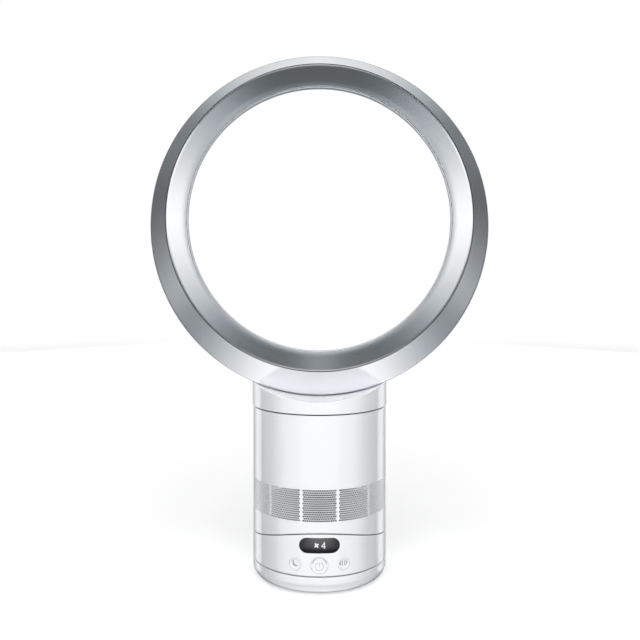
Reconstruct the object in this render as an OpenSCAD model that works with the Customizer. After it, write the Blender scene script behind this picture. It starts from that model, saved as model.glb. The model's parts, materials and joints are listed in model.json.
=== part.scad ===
// Bladeless desk fan: a round air loop on a tilting, swinging cylindrical base.
// Millimetres, +Z up. The front of the fan faces -Y, and the origin is on the
// floor at the middle of the foot.

/* [Base] */
// Outer radius of the foot, the control section and the fan body
body_r = 71.4; // [66:0.1:78]
// Wall of the moulded casings
wall = 2.4; // [2:0.1:3]
// Height of the seam between the foot and the control section
foot_h = 20.2; // [19:0.1:26]
// Height of the control section at its sides, from seam to seam
control_h = 27.9; // [26:0.1:34]
// Height of the fan body at its sides, from seam to seam
body_h = 134.1; // [130:0.1:150]
// Width of the shadow gaps between sections
seam_gap = 0.8; // [0.6:0.1:1.2]
// Radius of the curved seam that the body tilts on
tilt_r = 172; // [150:1:200]
// Furthest tilt each way, in degrees
tilt_max = 10; // [6:1:11]
// Furthest swing each way, in degrees
swing_max = 45; // [30:1:50]

/* [Loop] */
// Depth of the loop, front to back
loop_depth = 93; // [86:0.5:104]
// Radius of the bore at the back
bore_r = 146; // [130:0.5:165]
// How much wider the bore is at its front edge
bore_flare = 11.2; // [9:0.1:15]
// Width of the bevel, from the bore's front edge out to the largest radius
bevel_w = 20.2; // [18:0.1:26]
// How far the outer shell's centre lies below the bore's centre
loop_drop = 7.3; // [4:0.1:9]
// Depth of the bevel between the front edge and the largest radius
bevel_depth = 16.5; // [12:0.5:20]
// Height of the collar's front edge above the collar seam
collar_h = 13.8; // [12:0.1:18]
// How far the collar stands out past the body
collar_step = 0.9; // [0.4:0.1:1.5]
// Width of the air slit
slit = 1.4; // [1:0.1:2]

/* [Intake] */
// Height of the bottom of the intake band above the lowest part of the tilt seam
intake_low = 27; // [24:0.5:30]
// Height of the intake band
intake_h = 32.4; // [28:0.1:36]
// Panels of holes around the body
panels = 12; // [8:1:16]
// Rows of holes in a panel
hole_rows = 6; // [4:1:8]
// Holes in a row
hole_columns = 5; // [3:1:6]
// Radius of a hole
hole_r = 1.7; // [1.2:0.1:2]

/* [Controls] */
// Length of the display window
display_w = 40.8; // [34:0.2:44]
// Height of the display window
display_h = 15.2; // [12:0.2:16]
// Height of the display's centre above the foot seam
display_rise = 31.5; // [30:0.1:32]
// Radius of the power button
power_r = 8.8; // [7.5:0.1:9.4]
// Radius of the timer and swing buttons
small_button_r = 6.4; // [5:0.1:7]
// Height of the buttons' centres above the foot seam
button_rise = 12.2; // [12:0.1:12.8]
// Angle between neighbouring buttons, in degrees
button_angle = 20; // [19:0.5:23]
// How far a button travels
button_travel = 0.9; // [0.6:0.1:1]

/* [Hidden] */

$fn = 96;

// Fits and cuts
over = 0.5;       // overrun of every cut
fit = 0.15;       // clearance between still parts that nest
seat_fit = 0.02;  // clearance of a pressed part
rest_gap = 0.3;   // clearance of a part lying on its seat
run = 0.05;       // radial clearance of a turning shaft

// Heights of the seams
foot_top = foot_h - seam_gap / 2;
control_low = foot_h + seam_gap / 2;
tilt_low = foot_h + control_h;
tilt_z = tilt_low + tilt_r;
control_seam_r = tilt_r + seam_gap / 2;
body_seam_r = tilt_r - seam_gap / 2;
control_top = tilt_z - sqrt(pow(control_seam_r, 2) - pow(body_r, 2));
collar_z = tilt_low + body_h;
body_top = collar_z - seam_gap / 2;
inner_r = body_r - wall;
plate_r = inner_r - fit;
lip_r = bore_r + bore_flare;
loop_r = lip_r + bevel_w;

// Foot
foot_lift = 1.2;          // height of the foot's underside
foot_floor = 2.6;         // thickness of the foot's floor
foot_round = 12;          // radius of the foot's bottom edge
floor_z = foot_lift + foot_floor;
pad_r = 7;
pad_inset = 4.4;          // room between a pad and the foot's rounded edge
pad_ring = body_r - foot_round - pad_r - pad_inset;
pad_count = 6;
pad_sink = 1.2;           // depth of a pad's pocket
gland_r = 5;              // radius of the cord inlet's sleeve
gland_bore = 3.4;         // radius of the hole for the cord
gland_flange = 1.6;       // thickness of the sleeve's inner flange
gland_flange_r = 6.2;
gland_inset = 1.2;        // the sleeve's end sits this far inside the wall
gland_z = foot_lift + foot_round - pad_sink;

// Swing drive
tooth_module = 1.25;
sector_teeth = 48;        // teeth of the full circle
pinion_teeth = 12;
pressure = 25;            // pressure angle
tooth_tip = 0.8;          // tooth tip height, in modules
tooth_root = 1.1;         // tooth root depth, in modules
backlash = 0.1;           // play on each flank, at the pitch circle
flank_steps = 4;
gear_h = 5;               // thickness of the sector gear
boss_h = 5.2;             // height of the boss that carries the gear
gear_z = floor_z + boss_h;
gear_bore = 16;
sector_pitch_r = tooth_module * sector_teeth / 2;
pinion_pitch_r = tooth_module * pinion_teeth / 2;
gear_root_r = sector_pitch_r - tooth_root * tooth_module;
shaft_distance = sector_pitch_r + pinion_pitch_r;
spare_teeth = 2;          // teeth kept past each end of the swing
side_teeth = ceil(swing_max * sector_teeth / 360) + spare_teeth;
gear_screw_ring = 22;
gear_screws_n = 3;

// Pivot of the swing
journal_r = 11;
cable_bore = 7;
spindle_flange_r = 15.5;
spindle_flange = 3;
bush_wall = 2.2;
bush_r = journal_r + run + bush_wall;
hub_r = bush_r + 3.2;
plate_t = 2.6;            // thickness of the turntable and cradle plates
plate_top = control_low + plate_t;
gear_top = gear_z + gear_h;
flange_top = gear_top + spindle_flange;
bush_top = plate_top + plate_t;
hub_low = flange_top + rest_gap * 2;
washer_t = 1.2;
washer_r = 15;
washer_low = bush_top + rest_gap;
washer_bore = 9;
clip_t = 1;
clip_bore = 8.2;
clip_r = 11.4;
clip_mouth = 60;          // open angle of the clip
clip_low = washer_low + washer_t;
spindle_top = clip_low + clip_t + clip_t;
spindle_screw_ring = (journal_r + spindle_flange_r) / 2;
spindle_screws_n = 3;

// Thrust ring between foot and turntable
glide_out = inner_r - 2.5;
glide_w = 4;
glide_t = 1.8;
glide_top = control_low - rest_gap;
gland_seat = glide_out - glide_w - 2 * rest_gap;
gland_len = body_r - gland_inset - gland_seat + gland_flange;

// Screws: shank radius, head radius, head height
small_screw = [1.1, 1.9, 1.2];
base_screw = [1.5, 2.8, 1.6];
screw_grip = 8;           // length of a screw's shank
spindle_grip = 7;
screw_fit = 0.05;
recess_r = 0.6;           // radius of the driver's recess

// Stepper
stepper_r = 14;
stepper_h = 18.6;
stepper_boss_r = 4.5;
stepper_boss_h = 1.4;
stepper_ear = 17.5;       // distance of an ear's hole from the middle
stepper_ear_r = 3.6;
stepper_ear_t = 0.8;
stepper_offset = 8;       // the shaft stands off the motor's middle
shaft_r = 2.5;
shaft_top_z = plate_top + shaft_r;

// Cradle
post_spare = 1.4;         // room between a base screw's head and the glide ring
post_ring = glide_out - glide_w - base_screw[1] - post_spare;
post_angle = 31;          // angle of the posts from the X axis
post_x = post_ring * cos(post_angle);
post_y = post_ring * sin(post_angle);
post_r = 4;
post_grip = 12;
lug_top = plate_top + plate_t;
tilt_pad_x = 18;
tilt_pad_y = 40;
tilt_pad_r = 4;
tilt_pad_rise = seam_gap - rest_gap;
hook_x = 34;
hook_neck = 5;            // thickness of a hook's neck
hook_foot = 14;           // width of a hook's foot
hook_t = 2.4;             // thickness of a hook's foot
hook_l = 36;              // length of a hook along the seam
hook_half = hook_l / 2 / control_seam_r * 180 / PI;
hook_foot_r = control_seam_r + plate_t + rest_gap;
slot_fit = 0.6;
slot_spare = 0.8;         // spare angle at each end of a slot
cable_slot = 8;
cable_half = 9;           // half angle of the cable's slot
hook_screw_angle = 3.5;
hook_grip = plate_t + hook_t + hook_t;

// Display and buttons
display_z = foot_h + display_rise;
window_fit = 0.1;
led_w = 22;
led_h = 7;
led_t = 2.4;
board_t = 1.6;
led_drop = 1;             // the lamps' centre lies this far below the window's
display_board_w = 52;
display_board_h = 10.4;
display_board_y = inner_r - 7;
display_board_z = display_z - 2.8;
display_screw_x = 24;
display_boss_r = 2.2;
display_grip = 2.6;       // length of a screw in its boss
lens_flange = 0.8;
lens_flange_t = 1.2;
button_z = foot_h + button_rise;
button_fit = 0.2;
button_flush = 0.15;      // the cap sits this far inside the casing's surface
button_dish = 0.7;        // depth of the dish in a button's face
button_rim = 0.8;         // width of the rim round the dish
button_flange = 1.3;      // rim that keeps a button in
button_flange_t = 1.1;
button_flange_gap = 0.25;
button_stem_r = 2.6;
button_stem = 4;
button_back = inner_r - button_flange_gap - 2 * button_flange_t;
switch_s = 6;
switch_t = 3.4;
plunger_r = 1.6;
plunger_t = 0.8;
switch_gap = 0.25;        // what is left between stem and plunger when pressed
board_front = button_back - button_stem - button_travel - switch_gap - plunger_t - switch_t;
board_back = board_front - board_t;
carrier_t = 2;
carrier_back = board_back - carrier_t;
carrier_w = 2 * board_back * tan(button_angle / 2);
carrier_tab = 8;
button_board_w = 13;
button_board_h = 13;

// Main board
board_gap = 1;            // room between the main board and the buttons' carrier
main_low_y = board_gap - carrier_back * cos(button_angle) + carrier_w / 2 * sin(button_angle);
main_high_y = 19;
main_z = plate_top + 4;
main_hole = washer_r + 3;
standoff_r = 2.6;
standoff_edge = 4;        // distance of a standoff from the board's side
standoff_end = 6;         // distance of a rear standoff from the board's rear edge
standoff_shift = [12, 10]; // a front standoff lies this far inward of and before its post
standoff_x = post_x - standoff_shift[0];
standoff_y = [-post_y - standoff_shift[1], main_high_y - standoff_end];
main_w = 2 * (standoff_x + standoff_edge);
transformer = [26, 13, 11.5];
capacitor_x = 29;
capacitor_r = 6;
capacitor_h = 11.5;
connector = [9, 6, 5];

// Tilting body
ledge_w = 8;
ledge_t = 2.4;
ledge_rise = 2;           // height of the ledge above the intake band
intake_z = tilt_low + intake_low;
intake_top = intake_z + intake_h;
panel_rib = 3;            // plain strip between two panels
ledge_z = intake_top + ledge_rise;
seal_t = 3;
seal_low = ledge_z + ledge_t;
housing_low = seal_low + seal_t;
foam_gap = 3;             // foam stops this far below the intake band
foam_bore = 20;
pan_inset = 9;            // distance of the pan's screws from the casing's inner wall
pan_screw_x = inner_r - pan_inset;
pan_screw_angle = 6;
pan_boss_h = 8;
pan_grip = plate_t + 4;
pan_boss_r = inner_r - norm([pan_screw_x, body_seam_r * sin(pan_screw_angle)]) + wall / 2;

// Impeller housing, as radii and heights above the seal
housing_t = 2;
mouth_r = 50;
throat_r = 42.5;
housing_gap = 7;          // room between the housing and the casing
housing_r = inner_r - housing_gap;
mouth_drop = 5.4;
throat_rise = 1.6;
cone_low = 7.6;
cone_high = 32.6;
housing_clear = 1;        // room between the housing and the locking ring
flange_t = 2.4;
blade_gap = 1;
blades = 9;
blade_t = 1.6;
blade_curve_r = 42;
hub_tip_r = 12;
hub_base_r = 46;
hub_low_rise = 1;
hub_high_rise = 27.6;
hub_t = 2;
hub_base_t = 1.6;
hub_boss_rise = 12;
motor_shaft_r = 2.5;
nose_drop = 1.8;
nose_r = 7;

// Motor, as heights above the seal
bucket_r = 43;
bucket_t = 2;
bucket_low = housing_low + hub_high_rise + 3.2;
bucket_h = 24.5;
bearing_r = 8;
bearing_w = 5;
boss_wall = 2;
stator_r = 24;
stator_bore = 13.6;
stator_h = 7;
stator_yoke = 4;
stator_tooth_w = 5;
stator_teeth = 6;
stator_shoe = 1.2;
stator_shoe_w = 10;
stator_wall = 3;          // wall of the seat that holds the stator
winding_t = 2.2;
magnet_gap = 0.6;
stator_low = bucket_low + bucket_t + bearing_w;
bridge_t = 2.2;
bridge_w = 8;
bridge_arms = 3;
bridge_low = stator_low + stator_h + winding_t + rest_gap;
board_low = bucket_low + bucket_h - 3.8;
board_ledge = 2;
driver_bore = bearing_r + boss_wall + 1;
lid_h = 8;
lid_r = 20;
shaft_low = housing_low - nose_drop;
shaft_top = bridge_low + bearing_w;
vanes = 13;
vane_t = 1.4;
vane_lean = 35;
vane_h = 15;
ring_t = 1.4;
diffuser_low = bucket_low + 5;

// Bayonet between body and loop
sleeve_gap = 3.8;         // ring space outside the collar's sleeve
sleeve_t = 2.2;
sleeve_r = inner_r - sleeve_gap;
lug_out = 2.2;
lug_t = 2.8;
lug_half = 6;
lug_count = 4;
lug_drop = 7.2;           // depth of the lugs below the collar's underside
lug_spare = 1;            // spare angle at each end of a track
slot_step = 0.3;          // the way in is this much narrower at each side, in degrees
twist_max = 25;
lug_fit = 0.3;
sleeve_drop = 9;
lock_drop = 10.5;
gasket_w = 2;
collar_low = collar_z + seam_gap / 2;
lug_z = collar_low - lug_drop;
lock_top = body_top - seam_gap;
lock_low = lock_top - lock_drop;
lock_ledge = 2;
housing_rise = lock_low - housing_clear - housing_low;

// Collar and neck
collar_r = body_r + collar_step;
cradle_gap = 1.2;
cradle_r = loop_r + cradle_gap;
loop_z = collar_z + collar_h + cradle_r;
bore_z = loop_z + loop_drop;
deck_t = 2.4;
neck_x = 48;
neck_y = 20;
neck_t = 2;
neck_corner = 8;
neck_flange = 4;
neck_in = 3;              // the neck ends this far inside the loop's wall

// Loop
loop_facets = 96;
shell_t = 2.2;
rim_w = 1;                // flat front rim of the duct
rim_gap = 0.2;
front_y = -loop_depth / 2;
shoulder_y = front_y + bevel_depth;
shoulder_round = 3.5;
shoulder_steps = 4;
rear_round = 22.5;        // depth of the rounded back
rear_taper = 6.4;         // how much smaller the shell is at the back
rear_y = loop_depth / 2 - rear_round;
rear_out_r = loop_r - rear_taper;
rear_mid_r = (rear_out_r + bore_r) / 2;
rear_half = (rear_out_r - bore_r) / 2;
rear_steps = 8;
front_t = 2.8;            // thickness of the shell at the front edge
rim_r = lip_r + rim_w + rim_gap;
neck_top_r = rear_out_r - shell_t - neck_in;
slit_lip_y = rear_y - 6;
duct_rear_r = bore_r + shell_t + slit;
duct_rear_y = rear_y - 2;
duct_t = 2.1;
curl = 3.2;
spacers = 16;
spacer_angle = 0.6;
magnet_r = 5;
magnet_t = 3;
magnet_angle = 4.5;
magnet_y = -8;

// Colours
white = [0.93, 0.94, 0.95];
silver = [0.62, 0.64, 0.66];
black = [0.05, 0.05, 0.06];
rubber = [0.12, 0.12, 0.13];
steel = [0.7, 0.7, 0.72];
board_green = [0.1, 0.32, 0.18];
pom = [0.85, 0.85, 0.82];
foam_grey = [0.25, 0.25, 0.27];
copper = [0.72, 0.42, 0.22];
motor_grey = [0.32, 0.34, 0.37];

// Shared shapes

module tube(r_out, r_in, low, high) {
    difference() {
        translate([0, 0, low]) cylinder(r = r_out, h = high - low);
        translate([0, 0, low - over]) cylinder(r = r_in, h = high - low + 2 * over);
    }
}

// Round bar between two heights
module bar(r, low, high) {
    translate([0, 0, low]) cylinder(r = r, h = high - low);
}

// Cylinder along X at the tilt axis
module tilt_bar(r, half = body_r + over) {
    translate([0, 0, tilt_z]) rotate([0, 90, 0]) cylinder(r = r, h = 2 * half, center = true, $fn = 240);
}

// Plate of radius r_plate between two radii from the tilt axis
module tilt_plate(r_plate, r_in, r_out) {
    intersection() {
        bar(r_plate, tilt_z - r_out - over, tilt_z);
        difference() {
            tilt_bar(r_out);
            tilt_bar(r_in, body_r + 2 * over);
        }
    }
}

// Curved block that slides about the tilt axis
module tilt_arc(r_in, r_out, x_low, x_high, half) {
    translate([0, 0, tilt_z]) rotate([0, 90, 0]) rotate([0, 0, -half])
        rotate_extrude(angle = 2 * half, $fn = 240)
            translate([r_in, x_low]) square([r_out - r_in, x_high - x_low]);
}

// Copies its children around the Z axis
module around(count, start = 0) {
    for (i = [0 : count - 1]) rotate([0, 0, start + 360 * i / count]) children();
}

// Screw along Z with its head's underside at the origin and its shank going up
module screw(size, grip) {
    difference() {
        union() {
            cylinder(r = size[0], h = grip, $fn = 32);
            translate([0, 0, -size[2]]) cylinder(r = size[1], h = size[2], $fn = 32);
        }
        translate([0, 0, -size[2] - over]) cylinder(r = recess_r, h = over + size[2] / 2, $fn = 6);
    }
}

module screw_hole(size, low, high) {
    translate([0, 0, low - over]) cylinder(r = size[0] + screw_fit, h = high - low + 2 * over, $fn = 32);
}

// Everything at one angle on the front of the base, with its outward direction along -Y
module at_front(angle, z) {
    rotate([0, 0, angle]) translate([0, 0, z]) children();
}

// Round bar along Y between two distances in front of the axis
module front_bar(r, near, far) {
    translate([0, -far, 0]) rotate([-90, 0, 0]) cylinder(r = r, h = far - near);
}

// Pill-shaped bar along Y between two distances in front of the axis
module front_pill(w, h, near, far) {
    for (side = [-1, 1]) translate([side * (w - h) / 2, 0, 0]) front_bar(h / 2, near, far);
    translate([-(w - h) / 2, -far, -h / 2]) cube([w - h, far - near, h]);
}

// Gears

function involute(a) = tan(a) * 180 / PI - a;
function flank_angle(r, teeth, pitch, base) =
    90 / teeth - backlash / pitch * 180 / PI + involute(pressure) - involute(acos(min(1, base / r)));
function gear_radii(pitch) =
    let (base = pitch * cos(pressure), root = pitch - tooth_root * tooth_module,
         tip = pitch + tooth_tip * tooth_module, low = max(base, root))
    [for (i = [0 : flank_steps]) low + (tip - low) * i / flank_steps];
function at(r, a) = [r * cos(a), r * sin(a)];
function gear_tooth(middle, teeth, pitch) =
    let (base = pitch * cos(pressure), root = pitch - tooth_root * tooth_module, radii = gear_radii(pitch),
         wide = flank_angle(radii[0], teeth, pitch, base))
    concat(
        [at(root, middle - wide)],
        [for (r = radii) at(r, middle - flank_angle(r, teeth, pitch, base))],
        [for (i = [flank_steps : -1 : 0]) at(radii[i], middle + flank_angle(radii[i], teeth, pitch, base))],
        [at(root, middle + wide)]);

// Foot

module foot_profile(r, low, high, corner) {
    translate([0, low]) square([r - corner, high - low]);
    translate([0, low + corner]) square([r, high - low - corner]);
    translate([r - corner, low + corner]) circle(r = corner);
}

module foot_casing() {
    color(white) difference() {
        union() {
            difference() {
                rotate_extrude() intersection() {
                    foot_profile(body_r, foot_lift, foot_top, foot_round);
                    square([body_r, foot_top]);
                }
                difference() {
                    rotate_extrude() intersection() {
                        foot_profile(inner_r, floor_z, foot_top + over, foot_round - wall);
                        square([body_r, foot_top + over]);
                    }
                    translate([-gland_flange_r, gland_seat, 0])
                        cube([2 * gland_flange_r, body_r, gland_z + gland_flange_r]);
                }
            }
            bar(gear_root_r - wall, floor_z - foot_floor / 2, gear_z);
            bar(gear_bore - fit, floor_z - foot_floor / 2, gear_top);
            tube(glide_out, glide_out - glide_w, floor_z - foot_floor / 2, glide_top - glide_t);
        }
        translate([0, 0, foot_lift - over]) cylinder(r = cable_bore, h = gear_top);
        around(pad_count, 90) translate([pad_ring, 0, 0]) bar(pad_r + fit, 0, foot_lift + pad_sink);
        around(gear_screws_n) translate([gear_screw_ring, 0, 0])
            screw_hole(small_screw, gear_top - screw_grip, gear_top);
        around(spindle_screws_n) translate([spindle_screw_ring, 0, 0])
            screw_hole(small_screw, flange_top - small_screw[2] - spindle_grip, gear_top);
        translate([0, 0, gland_z]) rotate([-90, 0, 0]) cylinder(r = gland_r + fit, h = body_r + over);
    }
}

module foot_pads() {
    color(rubber) around(pad_count, 90) translate([pad_ring, 0, 0]) bar(pad_r, 0, foot_lift + pad_sink);
}

module sector_gear() {
    teeth = [for (i = [-side_teeth : side_teeth])
        each gear_tooth(90 + 360 * (i + 1 / 2) / sector_teeth, sector_teeth, sector_pitch_r)];
    color(pom) difference() {
        translate([0, 0, gear_z]) linear_extrude(gear_h) difference() {
            union() {
                circle(r = gear_root_r - backlash);
                polygon(concat([[0, 0]], teeth));
            }
            circle(r = gear_bore);
        }
        around(gear_screws_n) translate([gear_screw_ring, 0, 0]) screw_hole(small_screw, gear_z, gear_top);
    }
}

module gear_screws() {
    color(steel) around(gear_screws_n) translate([gear_screw_ring, 0, gear_top]) rotate([180, 0, 0])
        screw(small_screw, screw_grip);
}

module pivot_spindle() {
    head_low = flange_top - small_screw[2];
    color(pom) difference() {
        union() {
            bar(spindle_flange_r, gear_top, flange_top);
            bar(journal_r, gear_top, washer_low);
            bar(washer_bore - fit, gear_top, clip_low);
            bar(clip_bore - run, gear_top, spindle_top);
            bar(washer_bore - fit, clip_low + clip_t, spindle_top);
        }
        translate([0, 0, gear_top - over]) cylinder(r = cable_bore, h = spindle_top);
        around(spindle_screws_n) translate([spindle_screw_ring, 0, 0]) {
            screw_hole(small_screw, gear_top, flange_top);
            translate([0, 0, head_low]) cylinder(r = small_screw[1] + screw_fit, h = spindle_flange);
        }
    }
}

module spindle_screws() {
    color(steel) around(spindle_screws_n) translate([spindle_screw_ring, 0, flange_top - small_screw[2]])
        rotate([180, 0, 0]) screw(small_screw, spindle_grip);
}

module retaining_washer() {
    color(steel) tube(washer_r, washer_bore, washer_low, clip_low);
}

module retaining_clip() {
    color(steel) rotate([0, 0, clip_mouth / 2]) rotate_extrude(angle = 360 - clip_mouth)
        translate([clip_bore, clip_low]) square([clip_r - clip_bore, clip_t]);
}

module glide_ring() {
    color(pom) tube(glide_out, glide_out - glide_w, glide_top - glide_t, glide_top);
}

module cord_gland() {
    color(rubber) translate([0, 0, gland_z]) rotate([-90, 0, 0]) difference() {
        union() {
            translate([0, 0, gland_seat - gland_flange]) cylinder(r = gland_flange_r, h = gland_flange);
            translate([0, 0, gland_seat - gland_flange]) cylinder(r = gland_r, h = gland_len);
        }
        translate([0, 0, gland_seat - gland_flange - over])
            cylinder(r = gland_bore, h = gland_len + 2 * over);
    }
}

// Control section

module at_posts() {
    for (x = [-post_x, post_x], y = [-post_y, post_y]) translate([x, y, 0]) children();
}

module button_hole(angle, r) {
    at_front(angle, button_z) front_bar(r + button_fit, inner_r - over - button_flange_t, body_r + over);
}

module control_casing() {
    lug_reach = inner_r - norm([post_x, post_y]) + wall / 2;
    color(white) difference() {
        union() {
            tube(body_r, inner_r, control_low, control_top + over);
            intersection() {
                at_posts() bar(lug_reach, plate_top, lug_top);
                bar(body_r - wall / 2, plate_top, lug_top);
            }
            intersection() {
                for (side = [-1, 1]) translate([side * display_screw_x, 0, display_board_z])
                    front_bar(display_boss_r, display_board_y, body_r);
                bar(body_r - wall / 2, control_low, control_top);
            }
        }
        tilt_bar(control_seam_r);
        translate([0, 0, display_z]) front_pill(display_w + 2 * window_fit, display_h + 2 * window_fit,
            display_board_y, body_r + over);
        button_hole(0, power_r);
        for (side = [-1, 1]) button_hole(side * button_angle, small_button_r);
        at_posts() screw_hole(base_screw, plate_top, lug_top);
        for (side = [-1, 1]) translate([side * display_screw_x, 0, display_board_z])
            front_bar(small_screw[0] + screw_fit, display_board_y - over, display_board_y + display_grip);
    }
}

module turntable_plate() {
    color(pom) difference() {
        union() {
            bar(plate_r, control_low, plate_top);
            bar(hub_r, hub_low, plate_top);
            for (x = [-standoff_x, standoff_x], y = standoff_y) translate([x, y, 0])
                bar(standoff_r, control_low, main_z);
        }
        translate([0, 0, hub_low - over]) cylinder(r = bush_r + seat_fit, h = plate_top);
        at_posts() screw_hole(base_screw, control_low, plate_top);
        for (x = [-standoff_x, standoff_x], y = standoff_y) translate([x, y, 0])
            screw_hole(small_screw, main_z - screw_grip, main_z);
        translate([0, shaft_distance, 0]) bar(stepper_boss_r + fit, control_low - over, plate_top + over);
        at_ears() screw_hole(small_screw, control_low, plate_top);
        at_tabs() bar(small_screw[0] + screw_fit, -plate_t - over, over);
    }
}

module pivot_bush() {
    color(pom) {
        tube(bush_r, journal_r + run, hub_low, bush_top);
        tube(bush_r + bush_wall, bush_r - over, plate_top, bush_top);
    }
}

module cradle_plate() {
    slot_half = hook_half + tilt_max + slot_spare;
    color(pom) difference() {
        union() {
            tilt_plate(plate_r, control_seam_r, control_seam_r + plate_t);
            difference() {
                at_posts() bar(post_r, lug_top, control_top);
                tilt_bar(control_seam_r + plate_t / 2);
            }
        }
        for (side = [-1, 1]) translate([side * hook_x, 0, 0])
            tilt_arc(control_seam_r - over, control_seam_r + plate_t + over, -hook_neck / 2 - slot_fit,
                hook_neck / 2 + slot_fit, slot_half);
        tilt_arc(control_seam_r - over, control_seam_r + plate_t + over, -cable_slot / 2, cable_slot / 2,
            cable_half + tilt_max);
        at_posts() screw_hole(base_screw, lug_top, plate_top + post_grip);
    }
}

module tilt_pads() {
    color(rubber) for (x = [-tilt_pad_x, tilt_pad_x], y = [-tilt_pad_y, tilt_pad_y]) intersection() {
        translate([x, y, 0]) bar(tilt_pad_r, tilt_low - over - wall, control_top);
        difference() {
            tilt_bar(control_seam_r, body_r);
            tilt_bar(control_seam_r - tilt_pad_rise, body_r + over);
        }
    }
}

module base_screws() {
    color(steel) at_posts() translate([0, 0, control_low]) screw(base_screw, post_grip);
}

module display_lens() {
    color(black) difference() {
        union() {
            intersection() {
                translate([0, 0, display_z]) front_pill(display_w, display_h, display_board_y, body_r + over);
                tube(body_r, inner_r - lens_flange_t, control_low, control_top);
            }
            intersection() {
                translate([0, 0, display_z]) front_pill(display_w + 2 * lens_flange,
                    display_h + 2 * lens_flange, display_board_y, body_r);
                tube(inner_r - seat_fit, inner_r - lens_flange_t, control_low, control_top);
            }
        }
        intersection() {
            tilt_bar(control_seam_r + plate_t + rest_gap);
            bar(inner_r, control_low, control_top);
        }
    }
}

module display_board() {
    color(board_green) difference() {
        translate([-display_board_w / 2, -display_board_y, display_board_z - display_board_h / 2])
            cube([display_board_w, board_t, display_board_h]);
        for (side = [-1, 1]) translate([side * display_screw_x, 0, display_board_z])
            front_bar(small_screw[0] + screw_fit, display_board_y - board_t - over, display_board_y + over);
    }
}

module display_leds() {
    color(white) translate([-led_w / 2, -display_board_y - led_t, display_z - led_h / 2 - led_drop])
        cube([led_w, led_t, led_h]);
}

// Places a part at each button's board
module at_buttons() {
    for (angle = [-button_angle, 0, button_angle]) at_front(angle, button_z) children();
}

// Places a part at each of the carrier's two feet
module at_tabs() {
    for (angle = [-button_angle, button_angle])
        at_front(angle, plate_top) translate([0, carrier_tab / 2 - carrier_back, 0]) children();
}

module button_carrier() {
    color(pom) difference() {
        union() {
            at_buttons() translate([-carrier_w / 2, -board_back, plate_top - button_z])
                cube([carrier_w, carrier_t, button_z - plate_top + button_board_h / 2]);
            at_tabs() translate([-carrier_tab / 2, -carrier_tab / 2 - over, 0])
                cube([carrier_tab, carrier_tab + over, carrier_t]);
        }
        at_tabs() bar(small_screw[0] + screw_fit, -over, carrier_t + over);
    }
}

module button_boards() {
    color(board_green) at_buttons() translate([-button_board_w / 2, -board_front, -button_board_h / 2])
        cube([button_board_w, board_t, button_board_h]);
}

module button_switches() {
    color(rubber) at_buttons() {
        translate([-switch_s / 2, -board_front - switch_t, -switch_s / 2])
            cube([switch_s, switch_t, switch_s]);
        front_bar(plunger_r, board_front + switch_t - over, board_front + switch_t + plunger_t);
    }
}

module board_outline() {
    translate([-main_w / 2, main_low_y]) square([main_w, main_high_y - main_low_y]);
}

module main_board() {
    color(board_green) difference() {
        translate([0, 0, main_z]) linear_extrude(board_t) difference() {
            board_outline();
            circle(r = main_hole);
        }
        for (x = [-standoff_x, standoff_x], y = standoff_y) translate([x, y, 0])
            screw_hole(small_screw, main_z, main_z + board_t);
    }
}

module board_parts() {
    top = main_z + board_t;
    color(motor_grey) {
        translate([-transformer[0] / 2, main_low_y + board_t, top]) cube(transformer);
        for (side = [-1, 1]) translate([side * capacitor_x, main_low_y / 2, top])
            cylinder(r = capacitor_r, h = capacitor_h);
        translate([capacitor_x - connector[0] / 2, 0, top]) cube(connector);
        translate([-capacitor_x - connector[0] / 2, 0, top]) cube(connector);
    }
}

module board_screws() {
    color(steel) {
        for (x = [-standoff_x, standoff_x], y = standoff_y) translate([x, y, main_z + board_t])
            rotate([180, 0, 0]) screw(small_screw, screw_grip);
        for (side = [-1, 1]) translate([side * display_screw_x, board_t - display_board_y, display_board_z])
            rotate([90, 0, 0]) screw(small_screw, board_t + display_grip);
        at_tabs() translate([0, 0, carrier_t]) rotate([180, 0, 0]) screw(small_screw, carrier_t + plate_t);
    }
}

// Places a part at each of the stepper's two ears
module at_ears() {
    for (side = [-1, 1]) translate([side * stepper_ear, shaft_distance + stepper_offset, 0]) children();
}

module stepper_motor() {
    color(steel) difference() {
        union() {
            translate([0, shaft_distance + stepper_offset, 0])
                bar(stepper_r, plate_top, plate_top + stepper_h);
            translate([0, shaft_distance, 0])
                bar(stepper_boss_r, plate_top - stepper_boss_h, plate_top + over);
            at_ears() bar(stepper_ear_r, plate_top, plate_top + stepper_ear_t);
            translate([-stepper_ear, shaft_distance + stepper_offset - stepper_ear_r, plate_top])
                cube([2 * stepper_ear, 2 * stepper_ear_r, stepper_ear_t]);
        }
        at_ears() screw_hole(small_screw, plate_top, plate_top + stepper_ear_t);
        translate([0, shaft_distance, 0])
            bar(shaft_r + run, plate_top - stepper_boss_h - over, shaft_top_z + rest_gap);
    }
}

module stepper_screws() {
    color(steel) at_ears() translate([0, 0, plate_top + stepper_ear_t]) rotate([180, 0, 0])
        screw(small_screw, stepper_ear_t + plate_t);
}

// The pinion at rest has a tooth pointing at the middle of the base
module drive_pinion() {
    teeth = [for (i = [0 : pinion_teeth - 1]) each gear_tooth(-90 + 360 * i / pinion_teeth, pinion_teeth,
        pinion_pitch_r)];
    color(pom) translate([0, shaft_distance, gear_z]) linear_extrude(gear_h) difference() {
        polygon(teeth);
        circle(r = shaft_r + seat_fit);
    }
}

module pinion_shaft() {
    color(steel) translate([0, shaft_distance, 0]) bar(shaft_r, gear_z, shaft_top_z);
}

// Buttons

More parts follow.
